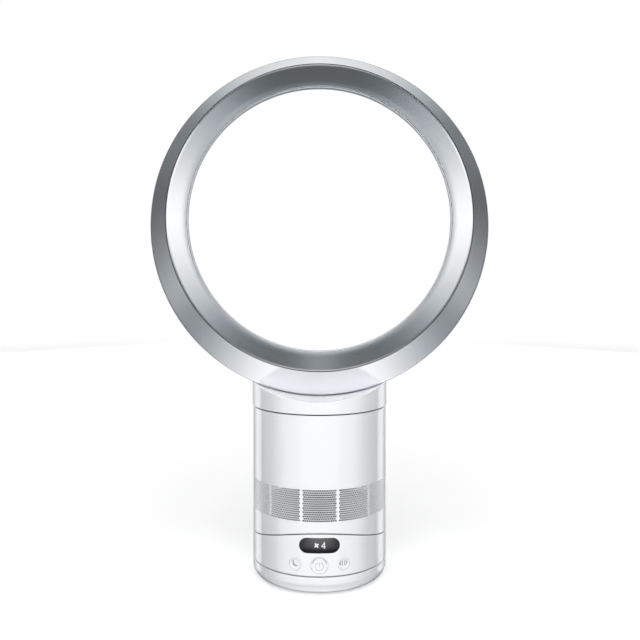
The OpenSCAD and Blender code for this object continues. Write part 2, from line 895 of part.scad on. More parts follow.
module button(angle, r) {
    dish_r = (pow(r - button_rim, 2) + button_dish * button_dish) / (2 * button_dish);
    face = body_r - button_flush;
    at_front(angle, button_z) {
        difference() {
            intersection() {
                front_bar(r, button_back, body_r);
                bar(face, -r - over, r + over);
            }
            translate([0, button_dish - face - dish_r, 0]) sphere(r = dish_r, $fn = 240);
        }
        intersection() {
            front_bar(r + button_flange, button_back, inner_r);
            bar(inner_r - button_flange_gap, plate_top + rest_gap - button_z, 2 * r);
        }
        front_bar(button_stem_r, button_back - button_stem, button_back + over);
    }
}

module power_button() {
    color(white) button(0, power_r);
}

module timer_button() {
    color(white) button(-button_angle, small_button_r);
}

module swing_button() {
    color(white) button(button_angle, small_button_r);
}

// Fan body

// Places a part, pointing down, at each of the pan's screws
module at_pan_screws() {
    for (x = [-pan_screw_x, pan_screw_x], a = [-pan_screw_angle, pan_screw_angle])
        translate([x, 0, tilt_z]) rotate([a, 0, 0]) translate([0, 0, -body_seam_r]) children();
}

// Places a part, pointing down, at each screw through the pan into a hook
module at_hook_screws() {
    for (x = [-hook_x, hook_x], a = [-hook_screw_angle, hook_screw_angle])
        translate([x, 0, tilt_z]) rotate([a, 0, 0]) translate([0, 0, plate_t - body_seam_r]) children();
}

module intake_holes() {
    pitch = 360 / panels;
    span = pitch - panel_rib * 180 / (PI * body_r);
    step = span / (hole_columns + 1 / 2);
    row_step = intake_h / hole_rows;
    for (p = [0 : panels - 1], row = [0 : hole_rows - 1], c = [0 : hole_columns - 1])
        rotate([0, 0, pitch * p + (c - hole_columns / 2 + 1 / 4 + (row % 2) / 2) * step])
            translate([0, 0, intake_z + (row + 1 / 2) * row_step])
                front_bar(hole_r, inner_r - over, body_r + over);
}

module body_casing() {
    color(white) difference() {
        union() {
            intersection() {
                tube(body_r, inner_r, tilt_low, body_top);
                tilt_bar(body_seam_r);
            }
            tube(body_r - wall / 2, inner_r - ledge_w, ledge_z, seal_low);
            tube(body_r - wall / 2, inner_r - lock_ledge, lock_low - ledge_t, lock_low);
            intersection() {
                at_pan_screws() translate([0, 0, plate_t + rest_gap])
                    cylinder(r = pan_boss_r, h = pan_boss_h - rest_gap);
                bar(body_r - wall / 2, tilt_low, body_top);
            }
        }
        at_pan_screws() cylinder(r = small_screw[0] + screw_fit, h = plate_t + pan_boss_h - wall);
        intake_holes();
    }
}

module body_underpan() {
    color(pom) difference() {
        tilt_plate(plate_r, body_seam_r - plate_t, body_seam_r);
        at_pan_screws() {
            translate([0, 0, -over]) cylinder(r = small_screw[0] + screw_fit, h = plate_t + 2 * over);
            translate([0, 0, -over]) cylinder(r = small_screw[1] + screw_fit, h = small_screw[2] + over);
        }
        at_hook_screws() translate([0, 0, -plate_t - over])
            cylinder(r = small_screw[0] + screw_fit, h = plate_t + 2 * over);
        bar(cable_slot / 2, tilt_low - over, tilt_low + 2 * plate_t);
    }
}

module pan_screws() {
    color(steel) at_pan_screws() translate([0, 0, small_screw[2]]) screw(small_screw, pan_grip);
}

module tilt_hooks() {
    color(pom) difference() {
        for (side = [-1, 1]) translate([side * hook_x, 0, 0]) {
            tilt_arc(body_seam_r, hook_foot_r + over, -hook_neck / 2, hook_neck / 2, hook_half);
            tilt_arc(hook_foot_r, hook_foot_r + hook_t, -hook_foot / 2, hook_foot / 2, hook_half);
        }
        at_hook_screws() translate([0, 0, -hook_grip - over])
            cylinder(r = small_screw[0] + screw_fit, h = hook_grip);
    }
}

module hook_screws() {
    color(steel) at_hook_screws() rotate([180, 0, 0]) screw(small_screw, hook_grip);
}

module silencer_foam() {
    color(foam_grey) difference() {
        intersection() {
            tube(inner_r - rest_gap, foam_bore, tilt_low, intake_z - foam_gap);
            tilt_bar(body_seam_r - plate_t);
        }
        at_pan_screws() cylinder(r = pan_boss_r + rest_gap, h = plate_t + pan_boss_h + rest_gap);
        at_hook_screws() translate([0, 0, -over])
            cylinder(r = small_screw[1] + rest_gap, h = small_screw[2] + rest_gap + over);
    }
}

module housing_seal() {
    color(foam_grey) tube(inner_r - rest_gap, inner_r - ledge_w + rest_gap, seal_low, housing_low);
}

// Inner line of the impeller housing, from mouth to top
housing_line = [[mouth_r, -mouth_drop], [throat_r, throat_rise], [throat_r, cone_low],
    [housing_r, cone_high], [housing_r, housing_rise]];

module impeller_housing() {
    last = len(housing_line) - 1;
    mouth_seat_r = throat_r + (mouth_r - throat_r) * throat_rise / (throat_rise + mouth_drop);
    color(silver) translate([0, 0, housing_low]) rotate_extrude() polygon(concat(
        housing_line,
        [for (i = [last : -1 : 2]) housing_line[i] + [housing_t, 0]],
        [[throat_r + housing_t, flange_t], [inner_r - fit, flange_t], [inner_r - fit, 0],
            [mouth_seat_r + housing_t, 0], [mouth_r + housing_t, -mouth_drop]]));
}

module motor_bucket() {
    color(silver) difference() {
        union() {
            tube(bucket_r, bucket_r - bucket_t, bucket_low, bucket_low + bucket_h);
            bar(bucket_r - bucket_t / 2, bucket_low, bucket_low + bucket_t);
            bar(bearing_r + boss_wall, bucket_low, bucket_low + bucket_t + bearing_w);
            tube(stator_r + stator_wall, stator_r - stator_yoke / 2, bucket_low, stator_low);
            tube(stator_r + stator_wall, stator_r + seat_fit, bucket_low, bridge_low);
            tube(bucket_r - bucket_t / 2, bucket_r - bucket_t - board_ledge, board_low - board_ledge,
                board_low);
        }
        translate([0, 0, bucket_low + bucket_t]) cylinder(r = bearing_r + seat_fit, h = bearing_w + over);
        translate([0, 0, bucket_low - over]) cylinder(r = motor_shaft_r + rest_gap, h = bucket_t + 2 * over);
    }
}

module bucket_lid() {
    low = bucket_low + bucket_h;
    top = low + lid_h;
    color(silver) rotate_extrude() polygon([[0, top], [lid_r, top], [bucket_r, low],
        [bucket_r - bucket_t, low], [lid_r - bucket_t / 2, top - bucket_t], [0, top - bucket_t]]);
}

module diffuser() {
    low = diffuser_low;
    mid = (bucket_r + housing_r) / 2;
    color(silver) {
        tube(bucket_r + fit + ring_t, bucket_r + fit, low, low + vane_h);
        intersection() {
            around(vanes) translate([mid, 0, low + vane_h / 2]) rotate([vane_lean, 0, 0])
                cube([2 * (housing_r - bucket_r), vane_t, 2 * vane_h], center = true);
            tube(housing_r - fit, bucket_r + fit + ring_t / 2, low, low + vane_h);
        }
    }
}

module motor_stator() {
    color(steel) translate([0, 0, stator_low]) linear_extrude(stator_h) {
        difference() {
            circle(r = stator_r);
            circle(r = stator_r - stator_yoke);
        }
        around(stator_teeth) translate([stator_bore + stator_shoe / 2, -stator_tooth_w / 2])
            square([stator_r - stator_bore - stator_yoke / 2 - stator_shoe / 2, stator_tooth_w]);
        around(stator_teeth) intersection() {
            difference() {
                circle(r = stator_bore + stator_shoe);
                circle(r = stator_bore);
            }
            translate([0, -stator_shoe_w / 2]) square([stator_r, stator_shoe_w]);
        }
    }
}

module motor_windings() {
    near = stator_bore + stator_shoe + seat_fit;
    length = sqrt(pow(stator_r - stator_yoke, 2) - pow(stator_tooth_w / 2 + winding_t, 2)) - near - rest_gap;
    color(copper) around(stator_teeth) translate([near, 0, 0]) difference() {
        translate([0, -stator_tooth_w / 2 - winding_t, stator_low - winding_t])
            cube([length, stator_tooth_w + 2 * winding_t, stator_h + 2 * winding_t]);
        translate([-over, -stator_tooth_w / 2 - seat_fit, stator_low - seat_fit])
            cube([length + 2 * over, stator_tooth_w + 2 * seat_fit, stator_h + 2 * seat_fit]);
    }
}

module motor_bearings() {
    color(steel) for (low = [bucket_low + bucket_t, bridge_low])
        tube(bearing_r, motor_shaft_r + run, low, low + bearing_w);
}

module bearing_bridge() {
    color(silver) difference() {
        union() {
            bar(bearing_r + boss_wall, bridge_low, bridge_low + bearing_w);
            intersection() {
                around(bridge_arms) translate([0, -bridge_w / 2, bridge_low])
                    cube([bucket_r, bridge_w, bridge_t]);
                bar(stator_r + stator_wall, bridge_low, bridge_low + bridge_t);
            }
        }
        translate([0, 0, bridge_low - over]) cylinder(r = bearing_r + seat_fit, h = bearing_w + 2 * over);
    }
}

module driver_board() {
    color(board_green) tube(bucket_r - bucket_t - fit, driver_bore, board_low, board_low + board_t);
}

// Bayonet track for one lug, as an arc between two radii and heights
module arc_block(r_in, r_out, low, high, from, to) {
    rotate([0, 0, from]) rotate_extrude(angle = to - from)
        translate([r_in, low]) square([r_out - r_in, high - low]);
}

module locking_ring() {
    track_in = sleeve_r - over;
    track_out = sleeve_r + lug_out + lug_fit;
    spare = lug_half + lug_spare;
    color(silver) difference() {
        tube(inner_r - fit, sleeve_r + lug_fit, lock_low, lock_top);
        around(lug_count, 360 / lug_count / 2) {
            arc_block(track_in, track_out, lug_z - lug_fit, lug_z + lug_t + lug_fit, -spare,
                twist_max + spare);
            arc_block(track_in, track_out - run, lug_z, lock_top + over, twist_max - spare + slot_step,
                twist_max + spare - slot_step);
        }
    }
}

module collar_gasket() {
    color(rubber) tube(inner_r - rest_gap, inner_r - rest_gap - gasket_w, lock_top, collar_low - rest_gap);
}

// Rotor

// Radius of the housing's cone at a height above the seal
function cone_at(rise) = throat_r + (housing_r - throat_r) * (rise - cone_low) / (cone_high - cone_low);

module flow_space() {
    top = hub_high_rise - hub_t;
    rotate_extrude() polygon([[hub_tip_r - hub_t, hub_low_rise], [throat_r - blade_gap, hub_low_rise],
        [throat_r - blade_gap, cone_low], [cone_at(top) - blade_gap, top], [hub_base_r - 2 * hub_t, top]]);
}

module blade() {
    translate([0, blade_curve_r, hub_low_rise]) rotate([0, 0, -90])
        arc_block(blade_curve_r - blade_t / 2, blade_curve_r + blade_t / 2, 0, hub_high_rise, 0, 90);
}

module impeller() {
    bore = motor_shaft_r + seat_fit;
    color(silver) translate([0, 0, housing_low]) {
        rotate_extrude() polygon([[bore, -nose_drop], [nose_r, -nose_drop], [hub_tip_r, hub_low_rise],
            [hub_base_r, hub_high_rise], [hub_base_r - hub_base_t, hub_high_rise],
            [hub_tip_r - hub_t, hub_low_rise + hub_t], [nose_r, hub_boss_rise], [bore, hub_boss_rise]]);
        around(blades) intersection() {
            flow_space();
            blade();
        }
    }
}

module motor_shaft() {
    color(steel) bar(motor_shaft_r, shaft_low, shaft_top);
}

module rotor_magnet() {
    color(motor_grey) tube(stator_bore - magnet_gap, motor_shaft_r + seat_fit, stator_low + rest_gap,
        stator_low + stator_h - rest_gap);
}

// Loop

// Bar along Y of a radius about the outer shell's axis
module loop_bar(r, half) {
    translate([0, 0, loop_z]) rotate([90, 0, 0]) cylinder(r = r, h = 2 * half, center = true, $fn = 240);
}

// Rounded upright duct through the neck
module neck(grow, low, high) {
    half_x = neck_x + grow;
    half_y = neck_y + grow;
    translate([0, 0, low]) linear_extrude(high - low) {
        square([2 * (half_x - neck_corner), 2 * half_y], center = true);
        square([2 * half_x, 2 * (half_y - neck_corner)], center = true);
        for (x = [-1, 1], y = [-1, 1]) translate([x * (half_x - neck_corner), y * (half_y - neck_corner)])
            circle(r = neck_corner);
    }
}

module collar() {
    color(white) difference() {
        union() {
            difference() {
                tube(collar_r, collar_r - wall, collar_low, loop_z);
                loop_bar(cradle_r, body_r + 2 * over);
            }
            intersection() {
                bar(collar_r - wall / 2, collar_low, loop_z);
                difference() {
                    loop_bar(cradle_r + deck_t, body_r);
                    loop_bar(cradle_r, body_r + over);
                }
            }
            tube(collar_r - wall / 2, sleeve_r - sleeve_t, collar_low, collar_low + deck_t);
            tube(sleeve_r, sleeve_r - sleeve_t, collar_low - sleeve_drop, collar_low + over);
            around(lug_count, 360 / lug_count / 2)
                arc_block(sleeve_r - sleeve_t / 2, sleeve_r + lug_out, lug_z, lug_z + lug_t,
                    -lug_half, lug_half);
        }
        neck(fit, collar_low, loop_z);
    }
}

module neck_frame() {
    color(white) difference() {
        union() {
            neck(0, loop_z - cradle_r - deck_t, loop_z - neck_top_r + neck_y);
            intersection() {
                neck(neck_flange, collar_low, loop_z);
                difference() {
                    loop_bar(cradle_r + deck_t + neck_t, body_r);
                    loop_bar(cradle_r + deck_t, body_r + over);
                }
            }
        }
        neck(-neck_t, collar_low, loop_z);
        loop_bar(neck_top_r, body_r + over);
    }
}

// A wall point is [depth, radius, share of the loop's drop]. The outer line runs from
// the front edge over the shoulder and round the back to the lip of the air slit.
shoulder_fall = (loop_r - rim_r) * shoulder_round / bevel_depth;
shoulder_sink = rear_taper * shoulder_round / (rear_y - shoulder_y);
corner_r = loop_r + shoulder_fall * shoulder_sink / (shoulder_fall + shoulder_sink);
function bend(from, corner, to, share) =
    let (a = corner + (from - corner) * share[0], c = corner + (to - corner) * share[1])
    [for (i = [0 : shoulder_steps]) let (t = i / shoulder_steps)
        a * pow(1 - t, 2) + corner * 2 * t * (1 - t) + c * t * t];
function wall_line(inset) =
    let (front = [front_y + inset * front_t / shell_t, rim_r, 0],
         corner = [shoulder_y + inset / 2, corner_r - inset, 1],
         rear = [rear_y, rear_out_r - inset, 1])
    concat(
        [front],
        bend(front, corner, rear, [shoulder_round / bevel_depth, shoulder_round / (rear_y - shoulder_y)]),
        [for (i = [0 : rear_steps]) let (a = 90 - 180 * i / rear_steps)
            [rear_y + (rear_round - inset) * cos(a), rear_mid_r + (rear_half - inset) * sin(a),
                (1 + sin(a)) / 2]],
        [[slit_lip_y, bore_r + inset, 0]]);
function reversed(list) = [for (i = [len(list) - 1 : -1 : 0]) list[i]];

module loop_solid() {
    section = concat(wall_line(0), reversed(wall_line(shell_t)));
    n = len(section);
    points = [for (i = [0 : loop_facets - 1], p = section) let (a = 360 * i / loop_facets)
        [p[1] * sin(a), p[0], bore_z - loop_drop * p[2] + p[1] * cos(a)]];
    faces = [for (i = [0 : loop_facets - 1], j = [0 : n - 1])
        let (next = (i + 1) % loop_facets, up = (j + 1) % n)
        each [[i * n + j, i * n + up, next * n + up], [i * n + j, next * n + up, next * n + j]]];
    polyhedron(points, faces);
}

module loop_shell() {
    color(silver) difference() {
        loop_solid();
        neck(fit, collar_z, loop_z - neck_top_r + neck_y);
    }
}

// Turns a shape drawn about Z so that it lies about the bore's axis, its top to the back
module about_bore() {
    translate([0, 0, bore_z]) rotate([-90, 0, 0]) children();
}

module loop_duct() {
    color(silver) about_bore() rotate_extrude($fn = 240) polygon(
        [[lip_r, front_y], [lip_r + rim_w, front_y], [lip_r + rim_w, front_y + front_t],
            [duct_rear_r + duct_t, duct_rear_y], [duct_rear_r + duct_t + curl, duct_rear_y + curl],
            [duct_rear_r + curl, duct_rear_y + duct_t + curl], [duct_rear_r, duct_rear_y]]);
}

module slit_spacers() {
    color(silver) about_bore() around(spacers) arc_block(bore_r + shell_t + seat_fit, duct_rear_r,
        slit_lip_y, duct_rear_y, -spacer_angle, spacer_angle);
}

module remote_magnets() {
    rise = rear_taper * (rear_y - magnet_y - magnet_r) / (rear_y - shoulder_y);
    top = rear_out_r + rise - shell_t - rest_gap;
    color(steel) for (side = [-1, 1]) translate([0, magnet_y, loop_z]) rotate([0, side * magnet_angle, 0])
        bar(magnet_r, top - magnet_t, top);
}

foot_casing();
foot_pads();
sector_gear();
gear_screws();
pivot_spindle();
spindle_screws();
retaining_washer();
retaining_clip();
glide_ring();
cord_gland();
control_casing();
turntable_plate();
pivot_bush();
cradle_plate();
tilt_pads();
base_screws();
display_lens();
display_board();
display_leds();
button_carrier();
button_boards();
button_switches();
main_board();
board_parts();
stepper_motor();
stepper_screws();
drive_pinion();
pinion_shaft();
power_button();
timer_button();
swing_button();
body_casing();
body_underpan();
tilt_hooks();
hook_screws();
silencer_foam();
housing_seal();
impeller_housing();
motor_bucket();
bucket_lid();
diffuser();
motor_stator();
motor_windings();
motor_bearings();
bearing_bridge();
driver_board();
locking_ring();
collar_gasket();
impeller();
motor_shaft();
rotor_magnet();
collar();
neck_frame();
loop_shell();
loop_duct();
slit_spacers();
remote_magnets();
board_screws();
pan_screws();
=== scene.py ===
import json
import math
import bpy
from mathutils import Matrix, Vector


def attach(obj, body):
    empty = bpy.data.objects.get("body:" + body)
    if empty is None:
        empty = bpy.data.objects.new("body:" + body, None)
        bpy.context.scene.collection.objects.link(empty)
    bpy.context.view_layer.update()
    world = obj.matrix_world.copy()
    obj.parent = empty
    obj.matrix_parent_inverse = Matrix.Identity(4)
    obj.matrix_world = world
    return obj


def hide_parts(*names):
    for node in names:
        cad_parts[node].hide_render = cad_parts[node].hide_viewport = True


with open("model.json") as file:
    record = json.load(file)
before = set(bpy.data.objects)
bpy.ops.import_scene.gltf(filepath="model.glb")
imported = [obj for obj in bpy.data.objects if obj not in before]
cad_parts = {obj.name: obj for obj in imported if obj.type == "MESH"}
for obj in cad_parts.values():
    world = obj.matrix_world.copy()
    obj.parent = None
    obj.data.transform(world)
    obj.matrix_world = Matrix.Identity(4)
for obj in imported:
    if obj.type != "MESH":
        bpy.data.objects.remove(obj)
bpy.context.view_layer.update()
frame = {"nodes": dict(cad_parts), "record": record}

mm = 0.001
scene = bpy.context.scene
print("frame:", len(frame["nodes"]), "solids")


# Camera: level, straight in front, the view let down a little

cameraSizes = {"place": (0.0, -0.918, 0.3407), "lens": 47.6, "shiftX": 0.0008, "shiftY": -0.0984}
bpy.ops.object.camera_add(location=cameraSizes["place"], rotation=(math.radians(90), 0, 0))
camera = bpy.context.object
camera.data.lens = cameraSizes["lens"]
camera.data.shift_x = cameraSizes["shiftX"]
camera.data.shift_y = cameraSizes["shiftY"]
scene.camera = camera
print("camera placed")


# Shader maths

class Wire:
    # A socket that carries a number, a vector or a colour
    def __init__(self, board, out):
        self.board = board
        self.out = out

    def __add__(self, other):
        return self.board.maths("ADD", self, other)

    def __sub__(self, other):
        return self.board.maths("SUBTRACT", self, other)

    def __rsub__(self, other):
        return self.board.maths("SUBTRACT", other, self)

    def __mul__(self, other):
        return self.board.maths("MULTIPLY", self, other)

    def __truediv__(self, other):
        return self.board.maths("DIVIDE", self, other)

    __radd__ = __add__
    __rmul__ = __mul__


class Board:
    # The node tree of a material or the world
    def __init__(self, tree):
        self.tree = tree

    def node(self, kind, settings=None, sockets=None, out=0):
        made = self.tree.nodes.new(kind)
        for key, value in (settings or {}).items():
            setattr(made, key, value)
        for key, value in (sockets or {}).items():
            if isinstance(value, Wire):
                self.tree.links.new(value.out, made.inputs[key])
            else:
                made.inputs[key].default_value = value
        return Wire(self, made.outputs[out])

    def plug(self, shader, socket, value):
        self.tree.links.new(value.out, shader.inputs[socket])

    def maths(self, operation, first, second=0.0):
        return self.node("ShaderNodeMath", {"operation": operation}, {0: first, 1: second})

    def step(self, value, low, high, start=0.0, end=1.0):
        return self.node("ShaderNodeMapRange", {"interpolation_type": "SMOOTHSTEP"},
                         {"Value": value, "From Min": low, "From Max": high,
                          "To Min": start, "To Max": end})

    def axes(self, vector):
        made = self.node("ShaderNodeSeparateXYZ", sockets={0: vector}).out.node
        return [Wire(self, out) for out in made.outputs]

    def place(self):
        return self.node("ShaderNodeTexCoord", out="Object")

    def noise(self, scale, detail=2.0):
        return self.node("ShaderNodeTexNoise", sockets={"Vector": self.place(), "Scale": scale,
                                                        "Detail": detail}, out="Fac")

    def mix(self, share, first, second):
        return self.node("ShaderNodeMix", {"data_type": "RGBA"}, {0: share, 6: first, 7: second},
                         out=2)

    def bump(self, height, strength, distance):
        return self.node("ShaderNodeBump", sockets={"Height": height, "Strength": strength,
                                                    "Distance": distance})

    def low(self, first, second):
        return self.maths("MINIMUM", first, second)

    def high(self, first, second):
        return self.maths("MAXIMUM", first, second)

    def length(self, first, second):
        return self.maths("SQRT", first * first + second * second)

    # Signs, drawn from lengths in millimetres; each has a soft edge
    def within(self, away, reach, soft=0.09):
        return self.step(away, reach - soft, reach + soft, 1.0, 0.0)

    def disc(self, x, z, middle, radius):
        return self.within(self.length(x - middle[0], z - middle[1]), radius)

    def hoop(self, x, z, middle, radius, width):
        away = self.length(x - middle[0], z - middle[1]) - radius
        return self.within(self.maths("ABSOLUTE", away), width / 2)

    def stroke(self, x, z, start, end, width):
        # A straight line with round ends
        dx, dz = end[0] - start[0], end[1] - start[1]
        along = ((x - start[0]) * dx + (z - start[1]) * dz) / (dx * dx + dz * dz)
        share = self.low(self.high(along, 0.0), 1.0)
        away = self.length(x - start[0] - share * dx, z - start[1] - share * dz)
        return self.within(away, width / 2)


# Studio

studio = {"ambient": 0.12, "back": 1.0, "front": 2.4, "frontSide": 1.9, "frontFoot": 0.15,
          "side": 0.04, "sideLow": 0.28, "sideHigh": 0.12, "above": 1.35, "below": 1.8,
          "behind": 1.3, "behindMiddle": 0.42, "behindLow": 0.47, "behindFar": 0.05,
          "bandFar": 0.1, "lift": 0.2, "glint": 0.22, "dimTint": (0.87, 1.0, 1.09, 1),
          "aim": (0, 0, 0.25), "floorSide": 14.0, "floorTone": 0.8, "floorRough": 0.9,
          "floorGlow": 0.37, "floorFarGlow": 0.84, "glowReach": (1.2, 3.2)}
# Where each light of the room starts and ends, in degrees of turn from straight in front
turns = {"softbox": (31.0, 36.0), "sides": (52.0, 94.0), "wall": (115.0, 124.0),
         "bandEnd": (138.0, 146.0), "wallMiddle": (143.0, 172.0), "glintStart": (155.0, 161.0),
         "glintEnd": (165.0, 173.0), "lift": (174.0, 179.0)}
# and in degrees of rise from level
rises = {"under": (-84.0, -36.0), "sideLow": (-48.0, -22.0), "wallFar": (-38.0, -20.0),
         "softbox": (-34.0, -21.0), "bandFoot": (-27.0, -20.0), "glintFoot": (-26.0, -20.0),
         "wallLow": (-15.0, 3.0), "glintHead": (-9.0, -5.0), "bandHead": (4.0, 20.0),
         "lift": (8.0, 16.0), "sideHigh": (8.0, 30.0), "wallHead": (8.0, 37.0), "over": (33.0, 73.0)}
lamps = [{"power": 37.5, "size": (2.4, 1.6), "place": (0.0, -2.3, 1.35)},
         {"power": 12.6, "size": (1.4, 1.0), "place": (0.0, -0.9, 1.9)},
         {"power": 27.0, "size": (1.2, 1.6), "place": (-1.5, 1.6, 0.6)},
         {"power": 27.0, "size": (1.2, 1.6), "place": (1.5, 1.6, 0.6)}]


def makeWorld():
    world = bpy.data.worlds.new("studio")
    scene.world = world
    world.use_nodes = True
    world.cycles.sampling_method = "NONE"
    board = Board(world.node_tree)
    direction = board.node("ShaderNodeTexCoord", out="Generated")
    x, y, z = board.axes(direction)
    turn = board.maths("ABSOLUTE", board.maths("ARCTAN2", x, y * -1.0)) * (180 / math.pi)
    rise = board.maths("ARCSINE", z) * (180 / math.pi)
    # In front a softbox that fades out at its lower edge, at the sides a dark room
    softbox = board.step(turn, *turns["softbox"], studio["front"], studio["frontSide"])
    softbox = softbox * board.step(rise, *rises["softbox"], studio["frontFoot"], 1.0)
    sides = board.step(turn, *turns["sides"])
    dark = board.step(rise, *rises["sideLow"], studio["sideLow"], studio["side"])
    dark = dark + board.step(rise, *rises["sideHigh"], 0.0, studio["sideHigh"])
    room = softbox * (1.0 - sides) + dark * sides
    # Behind a wall: its outer ends are a bright band, its middle is dimmer and fades with height
    peak = board.step(turn, *turns["wallMiddle"], studio["behind"], studio["behindMiddle"])
    fall = board.step(rise, *rises["wallLow"], studio["behindLow"], 1.0)
    fall = fall * board.step(rise, *rises["wallFar"], studio["behindFar"], 1.0)
    fall = fall * board.step(rise, *rises["wallHead"], 1.0, studio["behindFar"])
    band = board.step(rise, *rises["bandFoot"], studio["bandFar"], 1.0)
    band = band * board.step(rise, *rises["bandHead"], 1.0, studio["bandFar"])
    falls = board.step(turn, *turns["bandEnd"])
    # Two small lights on it, for the lower bore and for the edges of the body
    lift = board.step(turn, *turns["lift"], 0.0, studio["lift"]) * board.step(rise, *rises["lift"])
    glint = board.step(turn, *turns["glintStart"])
    glint = glint * board.step(turn, *turns["glintEnd"], studio["glint"], 0.0)
    glint = glint * board.step(rise, *rises["glintFoot"])
    glint = glint * board.step(rise, *rises["glintHead"], 1.0, 0.0)
    wall = peak * (fall * falls + band * (1.0 - falls)) + lift + glint
    behind = board.step(turn, *turns["wall"])
    room = room * (1.0 - behind) + wall * behind
    # Bright panels overhead and underneath
    over = board.step(rise, *rises["over"])
    under = board.step(rise, *rises["under"], 1.0, 0.0)
    seen = room * (1.0 - over) * (1.0 - under) + over * studio["above"] + under * studio["below"]
    isCamera = board.node("ShaderNodeLightPath", out="Is Camera Ray")
    isGlossy = board.node("ShaderNodeLightPath", out="Is Glossy Ray")
    isClear = board.node("ShaderNodeLightPath", out="Is Transmission Ray")
    plain = board.high(isCamera, isClear)
    other = isGlossy * seen + (1.0 - isGlossy) * studio["ambient"]
    power = plain * studio["back"] + (1.0 - plain) * other
    ground = world.node_tree.nodes["Background"]
    board.plug(ground, "Strength", power)
    bright = board.low(board.high(seen, 1.0 - isGlossy), 1.0)
    tint = board.mix(bright, studio["dimTint"], (1, 1, 1, 1))
    board.plug(ground, "Color", tint)


def makeFloor():
    bpy.ops.mesh.primitive_plane_add(size=studio["floorSide"], location=(0, 0, 0))
    floor = bpy.context.object
    floor.name = "floor"
    material = bpy.data.materials.new("floor")
    material.use_nodes = True
    board = Board(material.node_tree)
    shader = material.node_tree.nodes["Principled BSDF"]
    shader.inputs["Base Color"].default_value = (*[studio["floorTone"]] * 3, 1)
    shader.inputs["Roughness"].default_value = studio["floorRough"]
    isCamera = board.node("ShaderNodeLightPath", out="Is Camera Ray")
    x, y, z = board.axes(board.place())
    # The far floor gets less light, so it glows more and ends in the white behind it
    glow = board.step(board.length(x, y), *studio["glowReach"], studio["floorGlow"],
                      studio["floorFarGlow"]) * isCamera
    shader.inputs["Emission Color"].default_value = (1, 1, 1, 1)
    board.plug(shader, "Emission Strength", glow)
    floor.data.materials.append(material)
    floor.visible_glossy = False


def makeLamp(sizes):
    bpy.ops.object.light_add(type="AREA", location=sizes["place"])
    lamp = bpy.context.object
    lamp.data.shape = "RECTANGLE"
    lamp.data.size, lamp.data.size_y = sizes["size"]
    lamp.data.energy = sizes["power"]
    aim = Vector(studio["aim"]) - Vector(sizes["place"])
    lamp.rotation_euler = aim.to_track_quat("-Z", "Y").to_euler()
    lamp.visible_glossy = False
    lamp.visible_camera = False


makeWorld()
makeFloor()
for lampSizes in lamps:
    makeLamp(lampSizes)
scene.view_settings.view_transform = "Standard"
print("studio lit")


# Finishes

def newFinish(name, colour, roughness, metallic=0.0, coat=0.0):
    material = bpy.data.materials.new(name)
    material.use_nodes = True
    shader = material.node_tree.nodes["Principled BSDF"]
    shader.inputs["Base Color"].default_value = (*colour, 1)
    shader.inputs["Roughness"].default_value = roughness
    shader.inputs["Metallic"].default_value = metallic
    shader.inputs["Coat Weight"].default_value = coat
    return material, Board(material.node_tree), shader


def grained(name, colour, roughness, metallic=0.0, coat=0.0, scale=400.0, tone=0.04, rough=0.06,
            bump=0.1, depth=0.0001):
    # A moulded, cast or rolled surface: its tone, gloss and skin all vary a little
    material, board, shader = newFinish(name, colour, roughness, metallic, coat)
    broad = board.noise(scale * 0.05, 3.0)
    fine = board.noise(scale, 3.0)
    light = tuple(min(1.0, c * (1 + tone)) for c in colour)
    dark = tuple(c * (1 - tone) for c in colour)
    board.plug(shader, "Base Color", board.mix(broad, (*dark, 1), (*light, 1)))
    board.plug(shader, "Roughness", roughness - rough / 2 + broad * rough)
    board.plug(shader, "Normal", board.bump(fine, bump, depth))
    return material


bodyTone = (0.875, 0.883, 0.90)
silver = {"tone": (0.82, 0.832, 0.848), "spread": 0.035, "metal": 0.95, "flakes": 2600.0,
          "flakeTone": 0.7, "flakeRough": 0.012, "clouds": 24.0, "cloudTone": 0.3,
          "cloudRough": 0.02, "rough": 0.225, "skin": 300.0, "bump": 0.005, "depth": 0.00006}


def whiteShell(name):
    material = grained(name, bodyTone, 0.12, coat=1.0, scale=260.0, tone=0.008, rough=0.04, bump=0.04,
                       depth=0.00006)
    material.node_tree.nodes["Principled BSDF"].inputs["Coat Roughness"].default_value = 0.06
    return material


def silverShell(name):
    # Metal paint with fine flakes and faint clouds in it
    material, board, shader = newFinish(name, silver["tone"], silver["rough"], silver["metal"])
    flake = board.node("ShaderNodeTexVoronoi", out="Color",
                       sockets={"Vector": board.place(), "Scale": silver["flakes"]})
    sparkle = board.axes(flake)[0]
    broad = board.noise(silver["clouds"], 3.0)
    low, high = ([c * share for c in silver["tone"]]
                 for share in (1 - silver["spread"], 1 + silver["spread"]))
    share = sparkle * silver["flakeTone"] + broad * silver["cloudTone"]
    board.plug(shader, "Base Color", board.mix(share, (*low, 1), (*high, 1)))
    rough = silver["rough"] + sparkle * silver["flakeRough"] + broad * silver["cloudRough"]
    board.plug(shader, "Roughness", rough)
    skin = board.noise(silver["skin"])
    board.plug(shader, "Normal", board.bump(skin, silver["bump"], silver["depth"]))
    return material


